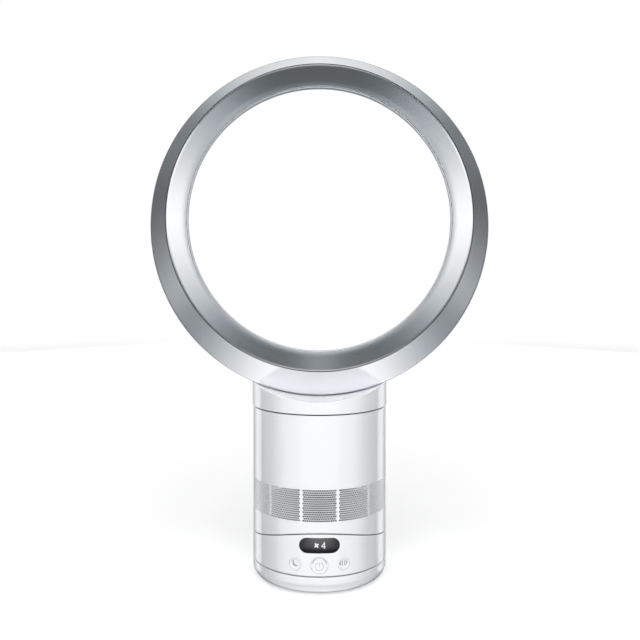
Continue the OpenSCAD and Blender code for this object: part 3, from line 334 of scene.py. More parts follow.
finishes = {
    "body_white": whiteShell("bodyWhite"),
    "loop_silver": silverShell("loopSilver"),
    "window_black": grained("windowBlack", (0.012, 0.012, 0.014), 0.07, scale=200.0, rough=0.02,
                            bump=0.02, depth=0.00005),
    "rubber_dark": grained("darkRubber", (0.05, 0.05, 0.05), 0.62, scale=900.0, rough=0.12, bump=0.35,
                           depth=0.0002),
    "gear_plastic": grained("gearPlastic", (0.80, 0.80, 0.77), 0.42, scale=500.0, rough=0.08),
    "screw_steel": grained("zincSteel", (0.62, 0.62, 0.64), 0.34, metallic=1.0, scale=900.0, rough=0.14,
                           bump=0.15),
    "bright_steel": grained("brightSteel", (0.72, 0.72, 0.73), 0.24, metallic=1.0, scale=700.0,
                            rough=0.1),
    "board_green": grained("boardGreen", (0.03, 0.20, 0.09), 0.38, coat=0.5, scale=350.0,
                           tone=0.12, bump=0.15),
    "part_dark": grained("darkPart", (0.045, 0.045, 0.05), 0.48, scale=800.0, rough=0.1,
                         bump=0.2),
    "lamp_white": grained("lampWhite", (0.86, 0.86, 0.82), 0.5, scale=500.0),
    "foam_grey": grained("foamGrey", (0.10, 0.10, 0.105), 0.95, scale=1400.0, tone=0.35, bump=0.9,
                         depth=0.0006),
    "duct_plastic": grained("ductPlastic", (0.42, 0.43, 0.45), 0.40, scale=500.0, rough=0.08,
                            bump=0.12),
    "fan_plastic": grained("fanPlastic", (0.34, 0.35, 0.38), 0.44, scale=600.0, rough=0.1,
                           bump=0.14),
    "copper": grained("copper", (0.70, 0.33, 0.16), 0.28, metallic=1.0, scale=900.0, tone=0.12,
                      bump=0.3),
}
for part in frame["record"]["subparts"]:
    solid = frame["nodes"][part["node"]]
    solid.data.materials.clear()
    solid.data.materials.append(finishes[part["material_slot"]])
print("finishes:", len(finishes))


# Modelling helpers

def leaveEdit():
    bpy.ops.object.mode_set(mode="OBJECT")


def clearSelection():
    if bpy.context.object and bpy.context.object.mode != "OBJECT":
        leaveEdit()
    bpy.ops.object.select_all(action="DESELECT")


def activate(piece):
    clearSelection()
    piece.select_set(True)
    bpy.context.view_layer.objects.active = piece


def settle(name):
    # The active piece gets its name, and its place and turn go into its mesh
    piece = bpy.context.object
    piece.name = piece.data.name = name
    activate(piece)
    bpy.ops.object.transform_apply(location=True, rotation=True, scale=True)
    return piece


def pick(piece, kind, test, whole=False):
    # Edit mode, with the points that pass the test selected, or the edges whose ends both do
    activate(piece)
    mesh = piece.data
    for items in (mesh.vertices, mesh.edges, mesh.polygons):
        items.foreach_set("select", [False] * len(items))
    if kind == "VERT":
        mesh.vertices.foreach_set("select", [test(v.co) for v in mesh.vertices])
    else:
        ends = [[mesh.vertices[i].co for i in edge.vertices] for edge in mesh.edges]
        mesh.edges.foreach_set("select", [test(*pair) if whole else all(map(test, pair))
                                          for pair in ends])
    bpy.context.tool_settings.mesh_select_mode = (kind == "VERT", kind == "EDGE", False)
    bpy.ops.object.mode_set(mode="EDIT")


def outward(piece):
    activate(piece)
    bpy.ops.object.mode_set(mode="EDIT")
    bpy.ops.mesh.select_all(action="SELECT")
    bpy.ops.mesh.remove_doubles(threshold=0.000004)
    bpy.ops.mesh.normals_make_consistent(inside=False)
    leaveEdit()


def copyRound(piece, count):
    # Copies all round the upright axis; where they meet, they join
    activate(piece)
    bpy.ops.object.mode_set(mode="EDIT")
    bpy.ops.mesh.select_all(action="SELECT")
    bpy.ops.mesh.spin(steps=count - 1, dupli=True, angle=2 * math.pi * (count - 1) / count,
                      center=(0, 0, 0), axis=(0, 0, 1))
    bpy.ops.mesh.select_all(action="SELECT")
    bpy.ops.mesh.remove_doubles(threshold=0.00001)
    leaveEdit()


def applied(piece, kind, **settings):
    activate(piece)
    made = piece.modifiers.new("work", kind)
    for key, value in settings.items():
        setattr(made, key, value)
    bpy.ops.object.modifier_apply(modifier="work")


def cut(piece, tool, operation="DIFFERENCE"):
    applied(piece, "BOOLEAN", object=tool, operation=operation, solver="MANIFOLD")
    bpy.data.objects.remove(tool)


def rounded(corners, closed=True, margin=0.4):
    # Corners are (along, radius, rounding); a point close to either end of a rounding's arc
    # keeps the shading of the straight parts even
    line = []
    count = len(corners)
    for i, (along, radius, size) in enumerate(corners):
        point = Vector((along, radius))
        if not size or (not closed and i in (0, count - 1)):
            line.append((along, radius))
            continue
        back = Vector(corners[i - 1][:2]) - point
        ahead = Vector(corners[(i + 1) % count][:2]) - point
        half = back.angle(ahead) / 2
        reach = size / math.tan(half)
        toBack, toAhead = back.normalized(), ahead.normalized()
        middle = point + (toBack + toAhead).normalized() * (size / math.sin(half))
        if back.length > 2 * (reach + margin):
            line.append(tuple(point + toBack * (reach + margin)))
        steps = max(3, int(2 + size * 1.2))
        start = point + toBack * reach - middle
        sweep = start.angle_signed(point + toAhead * reach - middle)
        for k in range(steps + 1):
            angle = -sweep * k / steps
            turned = Vector((start.x * math.cos(angle) - start.y * math.sin(angle),
                             start.x * math.sin(angle) + start.y * math.cos(angle)))
            line.append(tuple(middle + turned))
        if ahead.length > 2 * (reach + margin):
            line.append(tuple(point + toAhead * (reach + margin)))
    return line + line[:1] if closed else line


# A ring may lie on a curved seam: the round bar that shapes the seam, and the way the ring is
# pressed onto it
seams = {"tilt": {"turn": (0, math.radians(90), 0), "height": 220.1, "push": "z", "sides": 512},
         "saddle": {"turn": (math.radians(90), 0, 0), "height": 374.1, "push": "z", "sides": 512},
         "face": {"turn": (0, 0, 0), "height": 32.4, "push": "y", "sides": 1024}}


def pressRing(piece, group, kind, radius):
    seam = seams[kind]
    clearSelection()
    bpy.ops.mesh.primitive_cylinder_add(vertices=seam["sides"], radius=radius * mm, depth=0.4,
                                        location=(0, 0, seam["height"] * mm), rotation=seam["turn"])
    tool = bpy.context.object
    applied(piece, "SHRINKWRAP", target=tool, wrap_method="PROJECT", vertex_group=group,
            use_project_z=seam["push"] == "z", use_project_y=seam["push"] == "y",
            use_positive_direction=True, use_negative_direction=False)
    bpy.data.objects.remove(tool)


def loft(name, rings, sides, axis="Z", centre=(0, 0, 0), closed=True):
    # Rings are (along, radius, drop, seam) in millimetres; each is drawn out of the one before
    forward = Vector((0, 0, 1)) if axis == "Z" else Vector((0, 1, 0))
    rings = [tuple(ring) + (0.0, None)[len(ring) - 2:] for ring in rings]

    def middle(ring):
        return (Vector(centre) + forward * ring[0] - Vector((0, 0, ring[2]))) * mm

    clearSelection()
    bpy.ops.mesh.primitive_circle_add(vertices=sides, radius=rings[0][1] * mm,
                                      location=middle(rings[0]),
                                      rotation=(0, 0, 0) if axis == "Z" else (math.radians(90), 0, 0))
    piece = settle(name)
    pressed = []
    pick(piece, "VERT", lambda point: True)
    for i, ring in enumerate(rings):
        if i:
            before = rings[i - 1]
            bpy.ops.mesh.extrude_region_move(
                TRANSFORM_OT_translate={"value": middle(ring) - middle(before)})
            bpy.ops.transform.resize(value=(ring[1] / before[1],) * 3, center_override=middle(ring))
            if pressed:  # a drawn ring takes over the groups of the one before
                bpy.ops.object.vertex_group_remove_from(use_all_groups=True)
        if ring[3]:
            bpy.ops.object.vertex_group_assign_new()
            pressed.append((piece.vertex_groups[-1].name, ring[3]))
    if not closed:
        bpy.ops.mesh.merge(type="CENTER")
        bpy.ops.mesh.select_all(action="DESELECT")
        bpy.ops.mesh.select_non_manifold(extend=False, use_wire=False, use_boundary=True,
                                         use_multi_face=False, use_non_contiguous=False,
                                         use_verts=False)
        bpy.ops.mesh.edge_face_add()
    leaveEdit()
    for group, (kind, radius) in pressed:
        pressRing(piece, group, kind, radius)
    piece.vertex_groups.clear()
    outward(piece)
    return piece


def onSeam(line, top, kind, radius, reach=4.0, start=8.0):
    # Points near the top of a line lie on the seam, as far under it as they were under the top;
    # they start lower down and are then pressed up onto it
    return [(top - start, r, 0.0, (kind, radius + top - along)) if along > top - reach else (along, r)
            for along, r in line]


frontCut = (60.0, 75.0)  # from the axis to the ends of the bars that cut the casings


def pillTool(width, height, z, low, high):
    clearSelection()
    bpy.ops.mesh.primitive_cylinder_add(vertices=96, radius=height / 2 * mm, depth=(high - low) * mm,
                                        location=(0, -(low + high) / 2 * mm, z * mm),
                                        rotation=(math.radians(90), 0, 0))
    tool = settle("pillTool")
    for side in (-1, 1):
        pick(tool, "VERT", lambda point: point.x * side > 0.00001)
        bpy.ops.transform.translate(value=(side * (width - height) / 2 * mm, 0, 0))
        leaveEdit()
    return tool


def roundTool(radius, low, high, place, axis="Z", angle=0.0, sides=64):
    # A round bar along Z from its place, or along the front direction at an angle
    clearSelection()
    if axis == "Z":
        spot = Vector((place[0], place[1], (low + high) / 2)) * mm
        turn = (0, 0, 0)
    else:
        reach = (low + high) / 2
        spot = Vector((math.sin(angle) * reach, -math.cos(angle) * reach, place)) * mm
        turn = (math.radians(90), 0, angle)
    bpy.ops.mesh.primitive_cylinder_add(vertices=sides, radius=radius * mm, depth=(high - low) * mm,
                                        location=spot, rotation=turn)
    return settle("roundTool")


def softenEdges(piece, test, width, segments=2):
    pick(piece, "EDGE", test)
    bpy.ops.mesh.bevel(offset=width * mm, segments=segments, profile=0.5, affect="EDGES",
                       clamp_overlap=True)
    leaveEdit()


def finishPiece(piece, material, body, slot, *solids, smooth=32, level=False):
    activate(piece)
    piece.data.materials.clear()
    piece.data.materials.append(material)
    bpy.ops.object.shade_smooth_by_angle(angle=math.radians(smooth))
    if level:  # the wide faces stay evenly lit beside the narrow ones of a cut edge
        applied(piece, "WEIGHTED_NORMAL", keep_sharp=True, weight=90)
    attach(piece, body)
    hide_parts(*solids)
    print("made", piece.name, len(piece.data.polygons), "faces")


def across(point):
    return math.hypot(point.x, point.y)


# Foot

foot = {"radius": 71.4, "wall": 2.4, "low": 1.2, "top": 19.55, "round": 12.0, "edge": 0.5,
        "innerEdge": 0.4, "floor": 3.8, "bore": 7.0, "boreEdge": 0.6, "ledge": 8.0,
        "ringOut": 66.5, "ringIn": 62.5, "ringTop": 18.5, "bossRadius": 26.2, "bossTop": 9.0,
        "seatRadius": 15.85, "seatTop": 14.0, "pocket": 2.4, "glandRadius": 5.15, "glandZ": 12.0,
        "sides": 256}
pads = {"ring": 48.0, "radius": 7.0, "count": 6, "fit": 0.15, "round": 0.6, "cupOut": 3.4,
        "cupIn": 3.0, "cupDeep": 0.5, "cupRound": 0.3, "middle": 0.5, "sides": 64}


def makeFoot():
    inner = foot["radius"] - foot["wall"]
    line = rounded([(foot["low"], foot["bore"], foot["boreEdge"]),
                    (foot["low"], foot["radius"], foot["round"]),
                    (foot["top"], foot["radius"], foot["edge"]),
                    (foot["top"], inner, foot["innerEdge"]), (foot["ledge"], inner, 0),
                    (foot["ledge"], foot["ringOut"], 0), (foot["ringTop"], foot["ringOut"], 0),
                    (foot["ringTop"], foot["ringIn"], 0), (foot["floor"], foot["ringIn"], 0),
                    (foot["floor"], foot["bossRadius"], 0), (foot["bossTop"], foot["bossRadius"], 0),
                    (foot["bossTop"], foot["seatRadius"], 0), (foot["seatTop"], foot["seatRadius"], 0),
                    (foot["seatTop"], foot["bore"], foot["innerEdge"])])
    piece = loft("footCasing", line, foot["sides"])
    for i in range(pads["count"]):
        angle = math.radians(90 + 360 / pads["count"] * i)
        spot = (pads["ring"] * math.cos(angle), pads["ring"] * math.sin(angle))
        cut(piece, roundTool(pads["radius"] + pads["fit"], 0.0, foot["pocket"], spot))
    cut(piece, roundTool(foot["glandRadius"], *frontCut, foot["glandZ"], "Y", math.pi))
    finishPiece(piece, finishes["body_white"], "foot", "body_white", "foot_casing")


def makePads():
    # One pad with a shallow cup in its sole, copied round the foot
    line = rounded([(foot["pocket"], pads["radius"], 0), (0.0, pads["radius"], pads["round"]),
                    (0.0, pads["cupOut"], pads["cupRound"]),
                    (pads["cupDeep"], pads["cupIn"], pads["cupRound"]),
                    (pads["cupDeep"], pads["middle"], 0)], closed=False)
    piece = loft("footPads", line, pads["sides"], centre=(0, pads["ring"], 0), closed=False)
    copyRound(piece, pads["count"])
    outward(piece)
    finishPiece(piece, finishes["rubber_dark"], "foot", "rubber_dark", "foot_pads")


makeFoot()
makePads()


# Control section

control = {"radius": 71.4, "inner": 69.0, "low": 20.85, "seamRadius": 172.4, "seamLow": 47.7,
           "edge": 0.5, "innerEdge": 0.3, "windowWide": 41.0, "windowHigh": 15.4, "windowZ": 51.7,
           "windowEdge": 0.3, "buttonZ": 32.4, "buttonEdge": 0.18, "sides": 512}
buttons = {"powerButton": {"angle": 0.0, "radius": 8.8, "solid": "power_button", "body": "power_key"},
           "timerButton": {"angle": -20.0, "radius": 6.4, "solid": "timer_button", "body": "timer_key"},
           "swingButton": {"angle": 20.0, "radius": 6.4, "solid": "swing_button", "body": "swing_key"}}
buttonSizes = {"gap": 0.15, "flush": 0.15, "side": 0.9, "edge": 0.35, "rim": 0.8, "slope": 2.1,
               "dish": 0.62, "crown": 0.12, "middle": 0.25, "flange": 1.3, "flangeFar": 66.55,
               "flangeNear": 68.75, "start": 6, "sides": 128}


def onPill(point, width, height, z, slack=0.03):
    reach = max(abs(point.x) / mm - (width - height) / 2, 0.0)
    return abs(math.hypot(reach, point.z / mm - z) - height / 2) < slack


def makeControlCasing():
    line = rounded([(control["low"], control["radius"], control["edge"]),
                    (control["seamLow"], control["radius"], control["edge"]),
                    (control["seamLow"], control["inner"], control["innerEdge"]),
                    (control["low"], control["inner"], control["innerEdge"])])
    piece = loft("controlCasing", onSeam(line, control["seamLow"], "tilt", control["seamRadius"]),
                 control["sides"])
    cut(piece, pillTool(control["windowWide"], control["windowHigh"], control["windowZ"], *frontCut))
    for sizes in buttons.values():
        cut(piece, roundTool(sizes["radius"] + buttonSizes["gap"], *frontCut, control["buttonZ"], "Y",
                             math.radians(sizes["angle"]), sides=96))
    outer = control["radius"] - 0.02
    softenEdges(piece, lambda p: p.y < 0 and across(p) / mm > outer
                and onPill(p, control["windowWide"], control["windowHigh"], control["windowZ"]),
                control["windowEdge"])
    for sizes in buttons.values():
        turn = math.radians(sizes["angle"])
        size = sizes["radius"] + buttonSizes["gap"]

        def onHole(p):
            side = (p.x * math.cos(turn) + p.y * math.sin(turn)) / mm
            return (p.y < 0 and across(p) / mm > outer
                    and abs(math.hypot(side, p.z / mm - control["buttonZ"]) - size) < 0.03)

        softenEdges(piece, onHole, control["buttonEdge"])
    finishPiece(piece, finishes["body_white"], "control_section", "body_white", "control_casing",
                level=True)


window = {"wide": 40.8, "high": 15.2, "outer": 71.36, "inner": 68.6, "low": 42.0, "top": 61.4,
          "edge": 0.45, "crown": 0.27, "tone": (0.008, 0.008, 0.010), "lit": (0.92, 0.94, 0.96),
          "shineSide": (3.0, 19.0, 1.0, 0.04), "shineRise": (-7.0, 7.5, 0.12, 1.0), "signZ": 52.0}
fanSign = {"x": -2.9, "hub": 0.55, "blades": 4, "turn": 35, "root": 0.9, "tip": 2.1, "bend": 0.7,
           "wide": 1.25}
digit = {"x": 3.9, "wide": 0.85, "lines": (((1.1, -3.0), (1.1, 3.0)), ((1.1, 3.0), (-1.8, -1.2)),
                                           ((-1.8, -1.2), (2.0, -1.2)))}


def faceAxes(board, angle, height):
    # Millimetres across and up the front of the body, from a point on it
    x, y, z = board.axes(board.place())
    turn = math.radians(angle)
    aside = (x * math.cos(turn) + y * math.sin(turn)) * (1 / mm)
    return aside, z * (1 / mm) - height


def windowFinish():
    # Smoked plastic, a little crowned, with a lit fan sign and a speed digit in it
    material, board, shader = newFinish("displayWindow", window["tone"], 0.06)
    shader.inputs["IOR"].default_value = 1.3
    shader.inputs["Coat Roughness"].default_value = 0.04
    x, z = faceAxes(board, 0.0, control["windowZ"])
    straight = (window["wide"] - window["high"]) / 2
    far = board.length(board.high(board.maths("ABSOLUTE", x) - straight, 0.0), z) / (window["high"] / 2)
    board.plug(shader, "Normal", board.bump(1.0 - far * far, 1.0, window["crown"] * mm))
    # Its gloss is strongest at the top of its middle
    shine = board.step(board.maths("ABSOLUTE", x), *window["shineSide"])
    shine = shine * board.step(z, *window["shineRise"])
    board.plug(shader, "Coat Weight", shine)
    up = z + (control["windowZ"] - window["signZ"])
    left = x - fanSign["x"]
    sign = board.disc(left, up, (0, 0), fanSign["hub"])
    for k in range(fanSign["blades"]):
        blade = math.radians(fanSign["turn"] + 360 / fanSign["blades"] * k)
        bent = blade + fanSign["bend"]
        tip = (fanSign["tip"] * math.cos(blade), fanSign["tip"] * math.sin(blade))
        root = (fanSign["root"] * math.cos(bent), fanSign["root"] * math.sin(bent))
        sign = board.high(sign, board.stroke(left, up, root, tip, fanSign["wide"]))
    right = x - digit["x"]
    for start, end in digit["lines"]:
        sign = board.high(sign, board.stroke(right, up, start, end, digit["wide"]))
    sign = sign * board.step(board.noise(500.0), 0.2, 0.8, 0.9, 1.0)
    board.plug(shader, "Base Color", board.mix(sign, (*window["tone"], 1), (*window["lit"], 1)))
    return material


# The signs on the buttons, and a painted shade arc in the upper slope of the power button's dish:
# places are (across, up) from the middle of the button
signAndShadeTone = (0.30, 0.31, 0.33)
powerSignAndShade = {"middle": (0, -1.9), "radius": 4.0, "line": 0.95, "bar": ((0, -1.4), (0, 1.9), 0.95),
             "gap": ((0, 0.5), (0, 6.0), 2.4), "tone": 0.6, "shadeMiddle": (0, 0.2), "shadeRadius": 7.1,
             "shadeLine": 1.0, "shadeFoot": (0.6, 2.4), "shadeSides": (1.5, 6.0), "shadeTones": (0.3, 0.8)}
timerSign = {"middle": (0, 0.5), "radius": 3.5, "bite": (1.5, 1.9), "biteRadius": 3.3, "tone": 0.9}
swingSign = {"tip": (3.9, 0.4), "ends": ((2.5, 2.0), (2.5, -1.2)), "arrowLine": 1.1,
             "bar": ((1.1, 2.5), (1.1, -1.7)), "barLine": 1.0, "tone": 0.9}


def powerIconAndShade(board, x, z):
    sizes = powerSignAndShade
    ring = board.hoop(x, z, sizes["middle"], sizes["radius"], sizes["line"])
    gap = board.stroke(x, z, *sizes["gap"])
    sign = board.high(ring * (1.0 - gap), board.stroke(x, z, *sizes["bar"])) * sizes["tone"]
    # Painted shade: a grey arc in the upper slope of the dish, lightest in its middle and darkest at
    # its ends
    dishShade = board.hoop(x, z, sizes["shadeMiddle"], sizes["shadeRadius"], sizes["shadeLine"])
    dishShade = dishShade * board.step(z, *sizes["shadeFoot"])
    shadeFade = board.step(board.maths("ABSOLUTE", x), *sizes["shadeSides"], *sizes["shadeTones"])
    return board.high(sign, dishShade * shadeFade)


def timerIcon(board, x, z):
    moon = board.disc(x, z, timerSign["middle"], timerSign["radius"])
    bite = board.disc(x, z, timerSign["bite"], timerSign["biteRadius"])
    return moon * (1.0 - bite) * timerSign["tone"]


def swingIcon(board, x, z):
    def mirrored(spot, side):
        return spot[0] * side, spot[1]

    signs = 0.0
    for side in (-1, 1):
        tip = mirrored(swingSign["tip"], side)
        for end in swingSign["ends"]:
            arrow = board.stroke(x, z, tip, mirrored(end, side), swingSign["arrowLine"])
            signs = board.high(signs, arrow)
        start, end = (mirrored(spot, side) for spot in swingSign["bar"])
        signs = board.high(signs, board.stroke(x, z, start, end, swingSign["barLine"]))
    return signs * swingSign["tone"]


def buttonFinish(name, angle, printAndShade):
    # The white of the body with a printed grey sign; on the power button also a grey arc of painted
    # shade in its dish
    material = whiteShell(name)
    board = Board(material.node_tree)
    shader = material.node_tree.nodes["Principled BSDF"]
    x, z = faceAxes(board, angle, control["buttonZ"])
    plain = Wire(board, shader.inputs["Base Color"].links[0].from_socket)
    board.plug(shader, "Base Color", board.mix(printAndShade(board, x, z), plain, (*signAndShadeTone, 1)))
    return material


def makeWindow(material):
    line = [(window["low"], window["outer"]), (window["top"], window["outer"]),
            (window["top"], window["inner"]), (window["low"], window["inner"]),
            (window["low"], window["outer"])]
    piece = loft("displayWindow", line, control["sides"])
    cut(piece, pillTool(window["wide"], window["high"], control["windowZ"], *frontCut), "INTERSECT")
    softenEdges(piece, lambda p: across(p) / mm > window["outer"] - 0.02
                and onPill(p, window["wide"], window["high"], control["windowZ"]), window["edge"], 4)
    finishPiece(piece, material, "control_section", "window_black", "display_lens")


def makeButton(name, sizes, material):
    # The face is drawn in front of the body and then pressed back onto its curve
    face = control["radius"] - buttonSizes["flush"]
    radius = sizes["radius"]
    start = -face - buttonSizes["start"]
    rings = [(-buttonSizes["flangeFar"], radius + buttonSizes["flange"]),
             (-buttonSizes["flangeNear"], radius + buttonSizes["flange"]),
             (-buttonSizes["flangeNear"], radius)]
    edge = buttonSizes["edge"]
    profile = [(buttonSizes["side"], radius)]
    for k in range(5):
        angle = math.radians(90 * k / 4)
        profile.append((edge * (1 - math.sin(angle)), radius - edge * (1 - math.cos(angle))))
    brink = radius - buttonSizes["rim"]
    for k in range(11):
        share = k / 10
        fall = (1 - math.cos(math.pi * share)) / 2
        profile.append((buttonSizes["dish"] * fall, brink - buttonSizes["slope"] * share))
    last = brink - buttonSizes["slope"]
    for k in range(1, 7):
        share = k / 6
        profile.append((buttonSizes["dish"] + buttonSizes["crown"] * (1 - (1 - share) ** 2),
                        last * (1 - share) + buttonSizes["middle"] * share))
    rings += [(start, r, 0.0, ("face", face - depth)) for depth, r in profile]
    piece = loft(name, rings, buttonSizes["sides"], "Y", (0, 0, control["buttonZ"]), closed=False)
    piece.rotation_euler = (0, 0, math.radians(sizes["angle"]))
    settle(name)
    finishPiece(piece, material, sizes["body"], "body_white", sizes["solid"])


makeControlCasing()
makeWindow(windowFinish())
# The power button's mask holds its printed sign and a painted shade arc in its dish
signAndShadeMasks = {"powerButton": powerIconAndShade, "timerButton": timerIcon, "swingButton": swingIcon}
for buttonName, buttonPlace in buttons.items():
    printedAndShaded = buttonFinish(buttonName, buttonPlace["angle"], signAndShadeMasks[buttonName])
    makeButton(buttonName, buttonPlace, printedAndShaded)


# Fan body with its intake

bodySizes = {"radius": 71.4, "wall": 1.0, "top": 181.55, "seamRadius": 171.6, "edge": 0.5,
             "intakeLow": 75.1, "intakeHigh": 32.4, "panels": 12, "rows": 15, "pitches": 17,
             "holes": 16, "holeRadius": 1.04, "close": 1.0, "levels": (130.0, 160.0),
             "topClose": 1.4, "skirt": ((70.0, None), (44.0, 1.5), (42.0, 0.0))}


def repeated(piece, count, offset):
    applied(piece, "ARRAY", count=count, use_relative_offset=False, use_constant_offset=True,
            constant_offset_displace=offset)


def makeIntakePanel():
    # One staggered panel of round holes, laid flat and then bent round the body
    pitch = 2 * math.pi * bodySizes["radius"] / bodySizes["panels"] / bodySizes["pitches"]
    rowHigh = bodySizes["intakeHigh"] / bodySizes["rows"]

    def newGrid(name, columns, wide, x, z):
        clearSelection()
        bpy.ops.mesh.primitive_grid_add(x_subdivisions=columns, y_subdivisions=2, size=mm,
                                        rotation=(math.radians(90), 0, 0))
        piece = bpy.context.object
        piece.scale = (wide, rowHigh, 1)
        piece.location = ((x + wide / 2) * mm, 0, (z + rowHigh / 2) * mm)
        return settle(name)

    def newRow(name, holes, shift, z):
        tile = newGrid(name, 2, pitch, shift, z)
        spot = Vector(((shift + pitch / 2) * mm, 0, (z + rowHigh / 2) * mm))
        pick(tile, "VERT", lambda point: (point - spot).length < 0.00001)
        bpy.ops.mesh.dissolve_verts()
        bpy.ops.mesh.select_all(action="SELECT")
        bpy.ops.mesh.inset(thickness=0.1 * mm)
        bpy.ops.transform.tosphere(value=1.0)
        leaveEdit()
        reach = [(v.co - spot).length for v in tile.data.vertices if v.select]
        grow = bodySizes["holeRadius"] * mm * len(reach) / sum(reach)
        bpy.ops.object.mode_set(mode="EDIT")
        bpy.ops.transform.resize(value=(grow, grow, grow), center_override=spot)
        bpy.ops.mesh.delete(type="FACE")
        leaveEdit()
        repeated(tile, holes, (pitch * mm, 0, 0))
        columns = 2 * (bodySizes["pitches"] - holes)
        plain = newGrid("plain", columns, columns * pitch / 2, shift + holes * pitch, z)
        activate(tile)
        plain.select_set(True)
        bpy.ops.object.join()
        return tile

    low = bodySizes["intakeLow"]
    left = -pitch * bodySizes["holes"] / 2
    full = newRow("intakePanel", bodySizes["holes"], left, low)
    short = newRow("shortRow", bodySizes["holes"] - 1, left + pitch / 2, low + rowHigh)
    step = (0, 0, 2 * rowHigh * mm)
    repeated(full, (bodySizes["rows"] + 1) // 2, step)
    repeated(short, bodySizes["rows"] // 2, step)
    activate(full)
    short.select_set(True)
    bpy.ops.object.join()
    # The short rows reach half a pitch further, so the whole panel bends by that much more
    share = (bodySizes["pitches"] + 0.5) / bodySizes["pitches"]
    applied(full, "SIMPLE_DEFORM", deform_method="BEND", deform_axis="Z",
            angle=2 * math.pi / bodySizes["panels"] * share)
    full.location = (0, -bodySizes["radius"] * mm, 0)
    bpy.context.view_layer.objects.active = full
    return settle("bodyCasing")


def drawTo(level, height):
    rise = (0, 0, (level - height) * mm)
    bpy.ops.mesh.extrude_region_move(TRANSFORM_OT_translate={"value": rise})
    return level


def makeBodyCasing():
    piece = makeIntakePanel()
    sizes = bodySizes
    copyRound(piece, sizes["panels"])
    top = sizes["intakeLow"] + sizes["intakeHigh"]
    pick(piece, "EDGE", lambda p: p.z / mm > top - 0.01)
    height = top
    for level in (top + sizes["close"], *sizes["levels"], sizes["top"] - sizes["topClose"],
                  sizes["top"]):
        height = drawTo(level, height)
    leaveEdit()
    pick(piece, "EDGE", lambda p: p.z / mm < sizes["intakeLow"] + 0.01)
    height = sizes["intakeLow"]
    pressed = []
    for level, under in ((height - sizes["close"], None), *sizes["skirt"]):
        height = drawTo(level, height)
        if pressed:
            bpy.ops.object.vertex_group_remove_from(use_all_groups=True)
        if under is not None:
            bpy.ops.object.vertex_group_assign_new()
            pressed.append((piece.vertex_groups[-1].name, under))
    leaveEdit()
    for group, under in pressed:
        pressRing(piece, group, "tilt", sizes["seamRadius"] - under)
    piece.vertex_groups.clear()
    outward(piece)
    applied(piece, "SOLIDIFY", thickness=sizes["wall"] * mm, offset=-1.0, use_rim=True,
            use_even_offset=True)
    outer = sizes["radius"] - 0.05

    def onRim(p):
        seam = seams["tilt"]["height"] - math.sqrt(sizes["seamRadius"] ** 2 - (p.y / mm) ** 2)
        return across(p) / mm > outer and (p.z / mm > sizes["top"] - 0.01 or p.z / mm < seam + 0.05)

    softenEdges(piece, onRim, sizes["edge"], 3)
    finishPiece(piece, finishes["body_white"], "fan_body", "body_white", "body_casing")


makeBodyCasing()


# Collar under the loop

collar = {"radius": 72.3, "wall": 2.4, "low": 182.85, "saddleRadius": 178.9, "saddleLow": 195.2,
          "saddleReach": 6.0, "deck": 2.4, "rim": 0.9, "edge": 0.5, "shelf": 2.4, "sleeveOut": 65.2,
          "sleeveIn": 63.0, "sleeveLow": 173.6, "middle": 12.0, "sides": 384}
neck = {"x": 48.15, "y": 20.15, "corner": 8.0, "collarCut": (170.0, 240.0), "shellCut": (180.0, 225.0)}


def neckTool(low, high):
    clearSelection()
    bpy.ops.mesh.primitive_cube_add(size=1, location=(0, 0, (low + high) / 2 * mm),
                                    scale=(2 * neck["x"] * mm, 2 * neck["y"] * mm, (high - low) * mm))
    tool = settle("neckTool")
    pick(tool, "EDGE", lambda start, end: abs(start.z - end.z) > 0.001, whole=True)
    bpy.ops.mesh.bevel(offset=neck["corner"] * mm, segments=8, affect="EDGES")
    leaveEdit()
    return tool


def makeCollar():
    sizes = collar
    top = sizes["saddleLow"]
    inner = sizes["radius"] - sizes["wall"]
    outside = rounded([(sizes["sleeveLow"], sizes["sleeveOut"], 0.4),
                       (sizes["low"], sizes["sleeveOut"], 0),
                       (sizes["low"], sizes["radius"], sizes["edge"]),
                       (top, sizes["radius"], sizes["rim"]), (top, sizes["middle"], 0)], closed=False)
    shelf = sizes["low"] + sizes["shelf"]
    # Rings between the rim and the middle let the deck follow the saddle
    between = [sizes["radius"] * share for share in (0.93, 0.85, 0.75, 0.62, 0.5, 0.38, 0.27)]
    deck = [(top, radius) for radius in between]
    inside = [(top - sizes["deck"], radius) for radius in [sizes["middle"], *between[::-1], inner]]
    inside += [(shelf, inner), (shelf, sizes["sleeveIn"]), (sizes["sleeveLow"], sizes["sleeveIn"]),
               (sizes["sleeveLow"], sizes["sleeveOut"])]
    line = outside[:-1] + deck + outside[-1:] + inside
    line = onSeam(line, top, "saddle", sizes["saddleRadius"], sizes["saddleReach"])
    piece = loft("loopCollar", line, sizes["sides"])
    cut(piece, neckTool(*neck["collarCut"]))
    finishPiece(piece, finishes["body_white"], "loop", "body_white", "collar")


makeCollar()


# Loop: the outer shell and the duct inside it

loop = {"boreZ": 381.9, "drop": 8.3, "sink": 0.8, "lipRise": 0.5, "frontY": -46.5,
        "rimRadius": 159.0, "shoulderY": -30.0, "cornerRadius": 178.2, "shoulderRound": 2.6,
        "rearY": 24.0, "rearRadius": 171.4, "rearDepth": 22.5, "boreRadius": 146.0, "lipY": 18.0,
        "lipWall": 0.55, "lipDeep": 0.2, "lipEdge": 0.15, "wall": 2.2, "frontWall": 2.8,
        "close": (0.5, 0.6, 0.8), "sides": 384}
duct = {"lipRadius": 158.0, "rimWide": 0.3, "rim": ((0.06, -0.01), (0.0, 0.03), (0.02, 0.08)),
        "rimDeep": 0.5, "rimEdge": 0.05, "wall": 2.1, "slope": 12.4, "places": (5.0, 16.5, 26.5),
        "bend": -9.0, "neck": 17.0, "curl": 6.0, "curlAngle": 60, "flange": 4.5}


